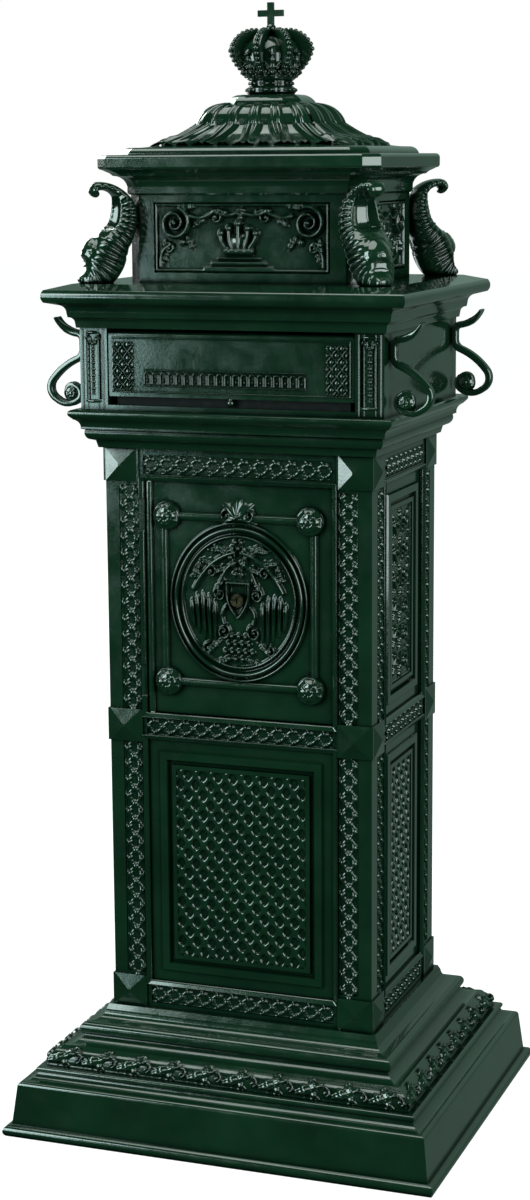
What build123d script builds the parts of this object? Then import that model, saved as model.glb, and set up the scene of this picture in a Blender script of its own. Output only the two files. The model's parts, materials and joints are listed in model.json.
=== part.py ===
from build123d import *
import os
from math import radians, sin, sqrt

# Ornamental cast pillar mailbox. Millimetres, +Z up, the front faces -Y.
# The origin is on the ground under the middle of the plinth.

# Plan: every level is as much deeper than it is wide as DEPTH_STEP says, per half.
DEPTH_STEP = 36
CORNER_CUT = 16  # legs of the cut corners, from the attic up

# Heights of the bearing faces between castings
PLINTH_TOP = 143
SHAFT_TOP = 806
SILL_TOP = 850
BOX_TOP = 942
CORNICE_TOP = 991
ATTIC_TOP = 1088
ROOF_CORNICE_TOP = 1132
ROOF_TOP = 1198
CROWN_TOP = 1300

# Half widths of the plain castings
SHAFT_HALF = 159
BOX_HALF = 179
ATTIC_HALF = 138

# Casting thicknesses
FRAME = 10
WALL = 6
FLANGE = 8
PANEL = 6

# Half width of the passage that runs up through the flanges
PASSAGE_HALF = 126

# Windows in the pillar's castings, from their bottom to their top edge
LOWER_WINDOW = (176, 468)
UPPER_WINDOW = (499, 769)
FRONT_WINDOW_HALF = 113
SIDE_WINDOW_HALF = 73
BAND_DEPTH = 2  # channel that the interlaced band lies in

# Collection door, its pivot and its lock
DOOR_GAP = 1.5
DOOR_AXIS = (-108, -117)
LOCK_HEIGHT = 637
CRANK_RADIUS = 12
PIN_RADIUS = 2.5
PIN_SOCKET = 14  # depth of a pivot pin's hole in the frame
RUNNING = 0.05  # radial clearance of a turning fit

# Letter flap
FLAP_HALF = 145
FLAP_BOTTOM = 866
FLAP_AXIS = (-136, 934)

# Outlines of the mouldings: how each stretch is drawn, and the half width and height it ends at
PLINTH = [
    ("start", 257, 0),
    ("bead", 256, 14),
    ("line", 253.5, 14),
    ("line", 248, 60),
    ("round", 243, 65),
    ("cove", 229, 73),
    ("bead", 228, 80),
    ("line", 221, 80),
    ("round", 209, 99),
    ("line", 206, 102),
    ("cove", 187, 110),
    ("bead", 183, 125),
    ("line", 178, 126),
    ("cove", 168, 137),
    ("line", 165, PLINTH_TOP),
]
PLINTH_CAVITY = [
    ("start", 246, FLANGE),
    ("line", 240, 57),
    ("line", 214, 68),
    ("line", 200, 90),
    ("line", 174, 102),
    ("line", 170, 118),
    ("line", 158, 128),
    ("line", 156, PLINTH_TOP - FLANGE),
]
NECK = [
    ("start", 165, SHAFT_TOP),
    ("line", 167, 814),
    ("line", 173, 816),
    ("round", 176, 827),
    ("line", 180, 828),
    ("cove", 186, 839),
    ("line", 190, 843),
    ("round", 190, 849),
    ("line", 188, SILL_TOP),
]
UPPER = [
    ("start", 182, BOX_TOP),
    ("line", 183, 949),
    ("cove", 189, 954),
    ("line", 190, 960),
    ("cove", 197, 968),
    ("line", 209, 971),
    ("round", 209, 985),
    ("line", 185, CORNICE_TOP),
]
ROOF_CORNICE = [
    ("start", 139, ATTIC_TOP),
    ("line", 141, 1090),
    ("line", 141, 1097),
    ("cove", 153, 1109),
    ("line", 156, 1112),
    ("line", 163, 1116),
    ("round", 166, 1119),
    ("line", 166, 1128),
    ("round", 162, ROOF_CORNICE_TOP),
]
ROOF = [
    ("start", 147, ROOF_CORNICE_TOP),
    ("round", 137, 1140),
    ("line", 133, 1140),
    ("dip", 70, 1164),
    ("round", 46, 1187),
    ("round", 27, ROOF_TOP),
]
BULGE = {"round": 0.18, "cove": -0.18, "dip": -0.08, "bead": 0.42}  # rise of an arc over its chord

REACH = 600  # past every casting, both ways
FRONT_INSIDE = SHAFT_HALF - DEPTH_STEP - FRAME  # backs of the pillar's castings, from the axis
SIDE_INSIDE = SHAFT_HALF - FRAME
GROUND_OPENING_HALF = 206


def front_reach(half):
    """Half width of the front face at a level, which is the level's own half width."""
    return half


def side_reach(half):
    """Half depth of a level."""
    return half - DEPTH_STEP


def corner_reach(half):
    """Distance of a cut corner's face from the axis at a level."""
    return (2 * half - DEPTH_STEP - CORNER_CUT) / sqrt(2)


def roof_side_reach(half):
    """Half depth of the roof, which draws in to a square under the crown."""
    return 10.5 + 0.673 * half


def roof_corner_reach(half):
    """Distance of the roof's cut corner from the axis."""
    return (half + roof_side_reach(half) - CORNER_CUT) / sqrt(2)


def draw_outline(outline, reach):
    """Draw a moulding's outline on both sides of the vertical axis, and close it."""
    start = (reach(outline[0][1]), outline[0][2])
    Line((0, start[1]), start)
    for kind, half, height in outline[1:]:
        end = (reach(half), height)
        if kind == "line":
            Line(start, end)
        else:
            chord = sqrt((end[0] - start[0]) ** 2 + (end[1] - start[1]) ** 2)
            SagittaArc(start, end, -BULGE[kind] * chord)
        start = end
    Line(start, (0, start[1]))
    mirror(about=Plane.YZ)


def mitred_block(outline, cut=False, reach=side_reach, corner=corner_reach):
    """A rectangular moulding with mitred corners, which are cut off if asked."""
    with BuildPart() as block:
        with BuildSketch(Plane.XZ):
            with BuildLine():
                draw_outline(outline, front_reach)
            make_face()
        extrude(amount=REACH, both=True)
        with BuildSketch(Plane.YZ):
            with BuildLine():
                draw_outline(outline, reach)
            make_face()
        extrude(amount=REACH, both=True, mode=Mode.INTERSECT)
        if cut:
            for turn in (45, -45):
                with BuildSketch(Plane.XZ.rotated((0, 0, turn))):
                    with BuildLine():
                        draw_outline(outline, corner)
                    make_face()
                extrude(amount=REACH, both=True, mode=Mode.INTERSECT)
    return block.part


def straight_sides(half, bottom, top):
    """Outline of a plain block."""
    return [("start", half, bottom), ("line", half, top)]


def four_ways(x, y):
    """A point and its mirror images about both planes."""
    return [(x, y), (-x, y), (-x, -y), (x, -y)]


def save(part, name):
    """Label a finished piece and write it."""
    part.label = name
    export_step(part, f"parts/{name}.step")


os.makedirs("parts", exist_ok=True)

# ---------------------------------------------------------------- fastener places
# Bolts through a joint stand in holes with a clearance of a fifth of a millimetre.
BOLT_R = 4
BOLT_CLEAR = 0.2
SHAFT_BOLTS = [(90, 101), (-90, 101), (90, -101), (-90, -101)]
SHAFT_BOLTS += [(137, 55), (-137, 55), (137, -55), (-137, -55)]
BOX_BOLTS = four_ways(164, 96)
ATTIC_BOLTS = four_ways(122, 55)
ROOF_BOLTS = four_ways(112, 50)
ANCHORS = four_ways(226, 150)
ANCHOR_R = 7
BLOCK_MIDDLES = (787, 483.5, 162)  # heights of the corner blocks
BLOCK_HALF = 19
CORNER_BOLT_X = 139.5
SMALL_R = 3


def bolt_sets(places, bottom, top, radius=BOLT_R):
    """Hexagon bolts with their nuts, for a joint whose faces are at bottom and top."""
    head = 1.3 * radius
    with BuildPart() as sets:
        with BuildSketch(Plane.XY.offset(top)):
            with Locations(*places):
                RegularPolygon(1.7 * radius, 6)
        extrude(amount=head)
        with BuildSketch(Plane.XY.offset(top)):
            with Locations(*places):
                Circle(radius)
        extrude(amount=bottom - head - radius - top)
        with BuildSketch(Plane.XY.offset(bottom)):
            with Locations(*places):
                RegularPolygon(1.7 * radius, 6)
                Circle(radius + RUNNING, mode=Mode.SUBTRACT)
        extrude(amount=-head)
    return sets.part


def side_plane(face):
    """Plane on the back of a pillar casting, facing out, with its own y upwards."""
    places = {
        "front": ((0, -FRONT_INSIDE, 0), (1, 0, 0), (0, -1, 0)),
        "rear": ((0, FRONT_INSIDE, 0), (-1, 0, 0), (0, 1, 0)),
        "right": ((SIDE_INSIDE, 0, 0), (0, 1, 0), (1, 0, 0)),
        "left": ((-SIDE_INSIDE, 0, 0), (0, -1, 0), (-1, 0, 0)),
    }
    origin, across, out = places[face]
    return Plane(origin=origin, x_dir=across, z_dir=out)


def window_half(face):
    """Half width of the windows on a face."""
    return FRONT_WINDOW_HALF if face in ("front", "rear") else SIDE_WINDOW_HALF


def window_rectangle(half, window, grow, mode=Mode.ADD):
    """Rectangle round a window, grown on every side."""
    bottom, top = window
    with Locations((0, (bottom + top) / 2)):
        Rectangle(2 * (half + grow), top - bottom + 2 * grow, mode=mode)


def bolt_holes(places, height, thickness, radius=BOLT_R + BOLT_CLEAR):
    """Cut clearance holes down through a flange from its upper face."""
    with BuildSketch(Plane.XY.offset(height)) as holes:
        with Locations(*places):
            Circle(radius)
    extrude(holes.sketch, amount=-thickness, mode=Mode.SUBTRACT)


def flange_opening(half, height, thickness):
    """Cut the passage through a flange, down from its upper face."""
    with BuildSketch(Plane.XY.offset(height)) as opening:
        Rectangle(2 * half, 2 * (half - DEPTH_STEP))
    extrude(opening.sketch, amount=-thickness, mode=Mode.SUBTRACT)


# ---------------------------------------------------------------- plinth
plinth_block = mitred_block(PLINTH)
plinth_cavity = mitred_block(PLINTH_CAVITY)
with BuildPart() as base_plinth:
    add(plinth_block)
    add(plinth_cavity, mode=Mode.SUBTRACT)
    flange_opening(GROUND_OPENING_HALF, FLANGE, FLANGE)
    flange_opening(PASSAGE_HALF, PLINTH_TOP, FLANGE)
    bolt_holes(ANCHORS, FLANGE, FLANGE, ANCHOR_R)
    bolt_holes(SHAFT_BOLTS, PLINTH_TOP, FLANGE)
save(base_plinth.part, "base_plinth")

# ---------------------------------------------------------------- pillar castings
SHAFT_HEIGHT = SHAFT_TOP - PLINTH_TOP
SHAFT_MIDDLE = (SHAFT_TOP + PLINTH_TOP) / 2
RAILS = ((PLINTH_TOP, LOWER_WINDOW[0]), (LOWER_WINDOW[1], UPPER_WINDOW[0]), (UPPER_WINDOW[1], SHAFT_TOP))
WINDOW_BEVEL = 2.5
BAND_WIDTH = 24
BAND_OFFSET = 18  # from a window's edge to the middle of the band beside it
RETURN = 8  # thickness of a side casting's return behind the front and rear castings
RETURN_DEPTH = 24
FLANGE_END = {True: 39, False: 29}  # from a wide or narrow casting's edge to its flanges' ends


def pillar_casting(face):
    """One face of the pillar: stiles and rails round two windows, and bolting flanges."""
    wide = face in ("front", "rear")
    across = SHAFT_HALF if wide else FRONT_INSIDE
    half = window_half(face)
    back = side_plane(face)
    with BuildPart() as casting:
        with BuildSketch(back):
            with Locations((0, SHAFT_MIDDLE)):
                Rectangle(2 * across, SHAFT_HEIGHT)
        extrude(amount=FRAME)
        for window in (LOWER_WINDOW, UPPER_WINDOW):
            with BuildSketch(back):
                window_rectangle(half, window, 0)
            extrude(amount=FRAME, mode=Mode.SUBTRACT)
            with BuildSketch(back.offset(FRAME)):
                window_rectangle(half, window, WINDOW_BEVEL)
            extrude(amount=-WINDOW_BEVEL, taper=45, mode=Mode.SUBTRACT)
        with BuildSketch(back.offset(FRAME)):
            with Locations((half + BAND_OFFSET, SHAFT_MIDDLE), (-half - BAND_OFFSET, SHAFT_MIDDLE)):
                Rectangle(BAND_WIDTH, SHAFT_HEIGHT - 4.4 * BLOCK_HALF)
            for low, high in RAILS:
                with Locations((0, (low + high) / 2)):
                    Rectangle(2 * half, BAND_WIDTH - 2)
        extrude(amount=-BAND_DEPTH, mode=Mode.SUBTRACT)
        for height in (PLINTH_TOP, SHAFT_TOP - FLANGE):
            with BuildSketch(back):
                with Locations((0, height + FLANGE / 2)):
                    Rectangle(2 * (across - FLANGE_END[wide]), FLANGE)
            extrude(amount=PASSAGE_HALF - SIDE_INSIDE)
            bolt_holes(SHAFT_BOLTS, height + FLANGE, FLANGE)
        if not wide:
            with BuildSketch(back):
                with Locations((across - RETURN / 2, SHAFT_MIDDLE), (RETURN / 2 - across, SHAFT_MIDDLE)):
                    Rectangle(RETURN, SHAFT_HEIGHT)
            extrude(amount=-RETURN_DEPTH)
        with BuildSketch(Plane.XZ):
            for height in BLOCK_MIDDLES:
                with Locations((CORNER_BOLT_X, height), (-CORNER_BOLT_X, height)):
                    Circle(SMALL_R + BOLT_CLEAR)
        extrude(amount=SHAFT_HALF, both=True, mode=Mode.SUBTRACT)
    return casting.part


for face in ("rear", "left", "right"):
    name = f"{face}_frame" if face == "rear" else f"{face}_side_frame"
    save(pillar_casting(face), name)

# The front casting also has a stop behind the door, and sockets for the door's pivots.
STOP_DEPTH = 8.5  # the stop reaches this far behind the casting
STOP_LIP = 7
STOP_REST = 2.5  # the closed door's back, behind the casting's back
STOP_START = -95  # the stop leaves the pivot side free
front_back = side_plane("front")
front_casting = pillar_casting("front")
lip_right = FRONT_WINDOW_HALF - STOP_LIP
with BuildPart() as front_frame:
    add(front_casting)
    with BuildSketch(front_back):
        window_rectangle(FRONT_WINDOW_HALF, UPPER_WINDOW, 6)
        window_rectangle(FRONT_WINDOW_HALF, UPPER_WINDOW, 0, mode=Mode.SUBTRACT)
    extrude(amount=-STOP_DEPTH)
    with BuildSketch(front_back.offset(-STOP_REST)):
        with Locations(((STOP_START + FRONT_WINDOW_HALF) / 2, sum(UPPER_WINDOW) / 2)):
            Rectangle(FRONT_WINDOW_HALF - STOP_START, UPPER_WINDOW[1] - UPPER_WINDOW[0])
        with Locations(((STOP_START + lip_right) / 2 - 1, sum(UPPER_WINDOW) / 2)):
            Rectangle(lip_right - STOP_START + 2, UPPER_WINDOW[1] - UPPER_WINDOW[0] - 2 * STOP_LIP,
                      mode=Mode.SUBTRACT)
    extrude(amount=STOP_REST - STOP_DEPTH)
    for height in (UPPER_WINDOW[0], UPPER_WINDOW[1] + PIN_SOCKET):
        bolt_holes([DOOR_AXIS], height, PIN_SOCKET, PIN_RADIUS)
save(front_frame.part, "front_frame")

# ---------------------------------------------------------------- corner blocks
BLOCK_LEG = 2
BLOCK_RISE = 4.5
BLOCK_WIDTH = 43
block_x = SHAFT_HALF + BLOCK_LEG
block_y = block_x - DEPTH_STEP


def corner_blocks(middle):
    """Faceted blocks wrapped round the pillar's four corners at one height."""
    with BuildPart() as blocks:
        with BuildSketch(Plane.XY.offset(middle - BLOCK_HALF)):
            with Locations((block_x - BLOCK_WIDTH / 2, block_y - BLOCK_WIDTH / 2)):
                Rectangle(BLOCK_WIDTH, BLOCK_WIDTH)
            Rectangle(2 * SHAFT_HALF, 2 * (SHAFT_HALF - DEPTH_STEP), mode=Mode.SUBTRACT)
        extrude(amount=2 * BLOCK_HALF)
        rear = Plane(origin=(CORNER_BOLT_X, block_y, middle), x_dir=(-1, 0, 0), z_dir=(0, 1, 0))
        side = Plane(origin=(block_x, block_y - BLOCK_WIDTH / 2, middle), x_dir=(0, 1, 0), z_dir=(1, 0, 0))
        for face in (rear, side):
            with BuildSketch(face):
                Rectangle(2 * BLOCK_HALF, 2 * BLOCK_HALF)
            with BuildSketch(face.offset(BLOCK_RISE)):
                Rectangle(3, 3)
            loft()
        with BuildSketch(Plane(origin=(CORNER_BOLT_X, SHAFT_HALF - DEPTH_STEP, middle), z_dir=(0, 1, 0))):
            Circle(SMALL_R)
        extrude(amount=4, mode=Mode.SUBTRACT)
        mirror(about=Plane.YZ)
        mirror(about=Plane.XZ)
    return blocks.part


for name, middle in zip(("top", "middle", "bottom"), BLOCK_MIDDLES):
    save(corner_blocks(middle), f"{name}_corner_blocks")

with BuildPart() as corner_bolts:
    for height in BLOCK_MIDDLES:
        for x in (CORNER_BOLT_X, -CORNER_BOLT_X):
            with BuildSketch(Plane(origin=(x, FRONT_INSIDE - RETURN, height), z_dir=(0, 1, 0))):
                RegularPolygon(1.7 * SMALL_R, 6)
            extrude(amount=-1.3 * SMALL_R)
            with BuildSketch(Plane(origin=(x, FRONT_INSIDE - RETURN, height), z_dir=(0, 1, 0))):
                Circle(SMALL_R)
            extrude(amount=RETURN + FRAME + 4)
    mirror(about=Plane.XZ)
save(corner_bolts.part, "corner_bolts")

# ---------------------------------------------------------------- fixed panels
PANEL_FLANGE = 5
PANEL_LAP = 8


def fixed_panel(face, window):
    """A panel behind a window: a flange inside, and a moulded field that fills the window."""
    half = window_half(face)
    back = side_plane(face)
    with BuildPart() as panel:
        with BuildSketch(back):
            window_rectangle(half, window, PANEL_LAP)
        extrude(amount=-PANEL_FLANGE)
        with BuildSketch(back):
            window_rectangle(half, window, -0.5)
        extrude(amount=PANEL)
        with BuildSketch(back.offset(PANEL)):
            window_rectangle(half, window, -13)
        extrude(amount=3, taper=30)
        with BuildSketch(back.offset(PANEL + 3)):
            window_rectangle(half, window, -23)
        extrude(amount=-4.5, taper=20, mode=Mode.SUBTRACT)
        with BuildSketch(back.offset(PANEL - 1.5)):
            window_rectangle(half, window, -29)
            window_rectangle(half, window, -34, mode=Mode.SUBTRACT)
        extrude(amount=3)
    return panel.part


for face in ("front", "rear", "left", "right"):
    save(fixed_panel(face, LOWER_WINDOW), f"{face}_lattice_panel")
for face in ("rear", "left", "right"):
    save(fixed_panel(face, UPPER_WINDOW), f"{face}_scrollwork_panel")

# ---------------------------------------------------------------- collection door
DOOR_BACK = FRONT_INSIDE - 2  # the door's back and front, from the axis
DOOR_FRONT = DOOR_BACK + PANEL
DOOR_RIGHT = FRONT_WINDOW_HALF - DOOR_GAP
DOOR_BOTTOM = UPPER_WINDOW[0] + DOOR_GAP
DOOR_TOP = UPPER_WINDOW[1] - DOOR_GAP
DOOR_RIB = 4.5
PIN_GRIP = 13  # length of a pivot pin inside the door
ROSETTE_X = 86
ROSETTE_HEIGHTS = (538, 730)
ROSETTES = [(x, height) for x in (-ROSETTE_X, ROSETTE_X) for height in ROSETTE_HEIGHTS]
STUD = 2.5
BARREL_R = 7.5


def facing(distance):
    """Plane that faces the front, at a distance before the axis, with its y upwards."""
    return Plane(origin=(0, -distance, 0), x_dir=(1, 0, 0), z_dir=(0, -1, 0))


with BuildPart() as collection_door:
    with BuildSketch(facing(DOOR_BACK)):
        with Locations(((DOOR_AXIS[0] + DOOR_RIGHT) / 2, (DOOR_BOTTOM + DOOR_TOP) / 2)):
            Rectangle(DOOR_RIGHT - DOOR_AXIS[0], DOOR_TOP - DOOR_BOTTOM)
    extrude(amount=PANEL)
    with BuildSketch(Plane.XY.offset(DOOR_BOTTOM)):
        with Locations(DOOR_AXIS):
            Circle(DOOR_RIB)
    extrude(amount=DOOR_TOP - DOOR_BOTTOM)
    bolt_holes([DOOR_AXIS], DOOR_TOP, PIN_GRIP + 1, PIN_RADIUS + RUNNING)
    bolt_holes([DOOR_AXIS], DOOR_BOTTOM + PIN_GRIP + 1, PIN_GRIP + 1, PIN_RADIUS + RUNNING)
    with BuildSketch(facing(DOOR_BACK)):
        with Locations((0, LOCK_HEIGHT)):
            Circle(BARREL_R + 0.1)
        with Locations(*ROSETTES):
            Circle(STUD + BOLT_CLEAR)
    extrude(amount=PANEL, mode=Mode.SUBTRACT)
save(collection_door.part, "collection_door")

with BuildPart() as door_pivot_pins:
    for low in (DOOR_TOP - PIN_GRIP, UPPER_WINDOW[0] - PIN_SOCKET):
        with BuildSketch(Plane.XY.offset(low)):
            with Locations(DOOR_AXIS):
                Circle(PIN_RADIUS)
        extrude(amount=PIN_GRIP + PIN_SOCKET + DOOR_GAP)
save(door_pivot_pins.part, "door_pivot_pins")

BAR_R = 5
BAR_X = 90  # the upright bars stand a little outside the rosettes' middles
PAD_R = 16.8
PAD = 3
ROSETTE_R = 15
bar_gap = ROSETTE_R + 0.3
with BuildPart() as door_bar_frame:
    for height in ROSETTE_HEIGHTS:
        with BuildSketch(Plane(origin=(bar_gap - ROSETTE_X, -DOOR_FRONT, height), z_dir=(1, 0, 0))):
            Circle(BAR_R)
        extrude(amount=2 * (ROSETTE_X - bar_gap))
    for x in (-BAR_X, BAR_X):
        with BuildSketch(Plane.XY.offset(ROSETTE_HEIGHTS[0] + bar_gap)):
            with Locations((x, -DOOR_FRONT)):
                Circle(BAR_R)
        extrude(amount=ROSETTE_HEIGHTS[1] - ROSETTE_HEIGHTS[0] - 2 * bar_gap)
    with BuildSketch(facing(DOOR_FRONT)):
        window_rectangle(FRONT_WINDOW_HALF, UPPER_WINDOW, 0)
    extrude(amount=-2 * BAR_R, mode=Mode.SUBTRACT)
    with BuildSketch(facing(DOOR_FRONT)):
        with Locations(*ROSETTES):
            Circle(PAD_R)
            Circle(STUD + BOLT_CLEAR, mode=Mode.SUBTRACT)
    extrude(amount=PAD)
save(door_bar_frame.part, "door_bar_frame")

PETALS = 2.5
EYE_R = 9
EYE = 5
NUT = 3.2
NUT_PROUD = 0.8
with BuildPart() as door_rosettes:
    with BuildSketch(facing(DOOR_FRONT + PAD)):
        with Locations(*ROSETTES):
            Circle(ROSETTE_R)
    extrude(amount=PETALS, taper=15)
    with BuildSketch(facing(DOOR_FRONT + PAD + PETALS)):
        with Locations(*ROSETTES):
            Circle(EYE_R)
    extrude(amount=EYE, taper=40)
    with BuildSketch(facing(DOOR_FRONT + PAD)):
        with Locations(*ROSETTES):
            Circle(STUD)
    extrude(amount=-PAD - PANEL - NUT - NUT_PROUD)
save(door_rosettes.part, "door_rosettes")

with BuildPart() as rosette_nuts:
    with BuildSketch(facing(DOOR_BACK)):
        with Locations(*ROSETTES):
            RegularPolygon(2 * STUD, 6)
            Circle(STUD + RUNNING, mode=Mode.SUBTRACT)
    extrude(amount=-NUT)
save(rosette_nuts.part, "rosette_nuts")

# Medallion: an upright oval plate inside two rings, with a shield that surrounds the keyhole.
MEDALLION_HEIGHT = 634
MEDALLION_REACH = (84, 90.5)  # half width and half height
MEDALLION_DEEP = 2
MEDALLION_RINGS = [  # half widths inside the plate's edge of each ring, and its height
    (0, 9, 3.6),
    (13, 18, 2.0),
]
SHIELD_FRONT = 11
with BuildPart() as door_medallion:
    with BuildSketch(facing(DOOR_FRONT)):
        with Locations((0, MEDALLION_HEIGHT)):
            Ellipse(*MEDALLION_REACH)
    extrude(amount=MEDALLION_DEEP)
    for outside, inside, rise in MEDALLION_RINGS:
        with BuildSketch(facing(DOOR_FRONT + MEDALLION_DEEP)):
            with Locations((0, MEDALLION_HEIGHT)):
                Ellipse(*[reach - outside for reach in MEDALLION_REACH])
                Ellipse(*[reach - inside for reach in MEDALLION_REACH], mode=Mode.SUBTRACT)
        extrude(amount=rise)
    with BuildSketch(facing(DOOR_FRONT)):
        with BuildLine():
            Line((-14, LOCK_HEIGHT + 20), (14, LOCK_HEIGHT + 20))
            ThreePointArc((14, LOCK_HEIGHT + 20), (15, LOCK_HEIGHT - 2), (0, LOCK_HEIGHT - 23))
            ThreePointArc((0, LOCK_HEIGHT - 23), (-15, LOCK_HEIGHT - 2), (-14, LOCK_HEIGHT + 20))
        make_face()
    extrude(amount=SHIELD_FRONT - 2)
    with BuildSketch(facing(DOOR_FRONT)):
        with Locations((0, LOCK_HEIGHT)):
            Circle(BARREL_R + 0.1)
    extrude(amount=SHIELD_FRONT, mode=Mode.SUBTRACT)
save(door_medallion.part, "door_medallion")

# ---------------------------------------------------------------- door lock
BARREL_FRONT = DOOR_FRONT + SHIELD_FRONT - 2.5
PLUG_R = 5
PLUG_BACK = 104.5
BARREL_FLANGE = 3
CRANK = 3
BOLT_FRONT, BOLT_BACK = 104, 100
PIN_SIDE = CRANK_RADIUS * sin(radians(45))
THROW = 2 * PIN_SIDE
with BuildPart() as lock_barrel:
    with BuildSketch(facing(DOOR_BACK - BARREL_FLANGE)):
        with Locations((0, LOCK_HEIGHT)):
            Circle(14)
    extrude(amount=BARREL_FLANGE)
    with BuildSketch(facing(DOOR_BACK)):
        with Locations((0, LOCK_HEIGHT)):
            Circle(BARREL_R)
    extrude(amount=BARREL_FRONT - DOOR_BACK)
    with BuildSketch(facing(DOOR_BACK - BARREL_FLANGE)):
        with Locations((0, LOCK_HEIGHT)):
            Circle(PLUG_R + RUNNING)
    extrude(amount=BARREL_FRONT, mode=Mode.SUBTRACT)
save(lock_barrel.part, "lock_barrel")

with BuildPart() as lock_plug:
    with BuildSketch(facing(PLUG_BACK)):
        with Locations((0, LOCK_HEIGHT)):
            Circle(PLUG_R)
    extrude(amount=BARREL_FRONT - PLUG_BACK)
    with BuildSketch(facing(BARREL_FRONT)):
        with Locations((0, LOCK_HEIGHT)):
            Rectangle(1.8, 7)
    extrude(amount=-12, mode=Mode.SUBTRACT)
save(lock_plug.part, "lock_plug")

pin_place = (-PIN_SIDE, LOCK_HEIGHT + PIN_SIDE)
with BuildPart() as lock_crank:
    with BuildSketch(facing(PLUG_BACK)) as arm:
        with Locations((0, LOCK_HEIGHT)):
            Circle(9)
        with Locations(pin_place):
            Circle(PIN_RADIUS + 2)
        make_hull()
        with Locations((0, LOCK_HEIGHT)):
            Circle(PLUG_R, mode=Mode.SUBTRACT)
    extrude(amount=CRANK)
    with BuildSketch(facing(PLUG_BACK)):
        with Locations(pin_place):
            Circle(PIN_RADIUS)
    extrude(amount=-5.5)
save(lock_crank.part, "lock_crank")

# The bolt is drawn back at rest. Its slot is a little wider than the crank's pin, because the
# pin moves on a circle and the bolt on a line.
BOLT_HALF = 8
BOLT_TIP = 103
YOKE = (-19, 7.5)
with BuildPart() as lock_bolt:
    with BuildSketch(facing(BOLT_BACK)):
        with Locations(((YOKE[1] - 2 + BOLT_TIP) / 2, LOCK_HEIGHT)):
            Rectangle(BOLT_TIP - YOKE[1] + 2, 2 * BOLT_HALF)
        with Locations((sum(YOKE) / 2, LOCK_HEIGHT + 6)):
            Rectangle(YOKE[1] - YOKE[0], 28)
        with Locations((-PIN_SIDE, LOCK_HEIGHT + 10.2)):
            Rectangle(2 * PIN_RADIUS + 0.9, 11, mode=Mode.SUBTRACT)
    extrude(amount=BOLT_FRONT - BOLT_BACK)
save(lock_bolt.part, "lock_bolt")

with BuildPart() as bolt_guides:
    with BuildSketch(facing(DOOR_BACK)):
        with Locations((34, LOCK_HEIGHT), (92, LOCK_HEIGHT)):
            Rectangle(8, 32)
    extrude(amount=BOLT_BACK - 4 - DOOR_BACK)
    with BuildSketch(facing(BOLT_BACK - 0.1)):
        with Locations((34, LOCK_HEIGHT), (92, LOCK_HEIGHT)):
            Rectangle(8, 2 * BOLT_HALF + 0.2)
    extrude(amount=BOLT_FRONT - BOLT_BACK + 0.2, mode=Mode.SUBTRACT)
save(bolt_guides.part, "bolt_guides")

# ---------------------------------------------------------------- shelf in the pillar
SHELF_BOTTOM = 484
SHELF = 3
with BuildPart() as mail_shelf:
    with BuildSketch(Plane.XY.offset(SHELF_BOTTOM)):
        Rectangle(2 * (SIDE_INSIDE - 2), 2 * (FRONT_INSIDE - 15))
    extrude(amount=SHELF)
save(mail_shelf.part, "mail_shelf")

with BuildPart() as shelf_bearers:
    with BuildSketch(Plane.XY.offset(SHELF_BOTTOM)):
        with Locations((SIDE_INSIDE - 9, 0), (9 - SIDE_INSIDE, 0)):
            Rectangle(18, 140)
    extrude(amount=-7)
save(shelf_bearers.part, "shelf_bearers")

# ---------------------------------------------------------------- neck
NECK_CAVITY = [("start", 157, SHAFT_TOP + FLANGE), ("line", 168, 826), ("line", 180, SILL_TOP - FLANGE)]
THROAT_HALF = 155  # passage between the neck and the slot box
neck_block = mitred_block(NECK)
neck_cavity = mitred_block(NECK_CAVITY)
with BuildPart() as neck_cornice:
    add(neck_block)
    add(neck_cavity, mode=Mode.SUBTRACT)
    flange_opening(PASSAGE_HALF, SHAFT_TOP + FLANGE, FLANGE)
    flange_opening(THROAT_HALF, SILL_TOP, FLANGE)
    bolt_holes(SHAFT_BOLTS, SHAFT_TOP + FLANGE, FLANGE)
    bolt_holes(BOX_BOLTS, SILL_TOP, FLANGE)
save(neck_cornice.part, "neck_cornice")

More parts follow.
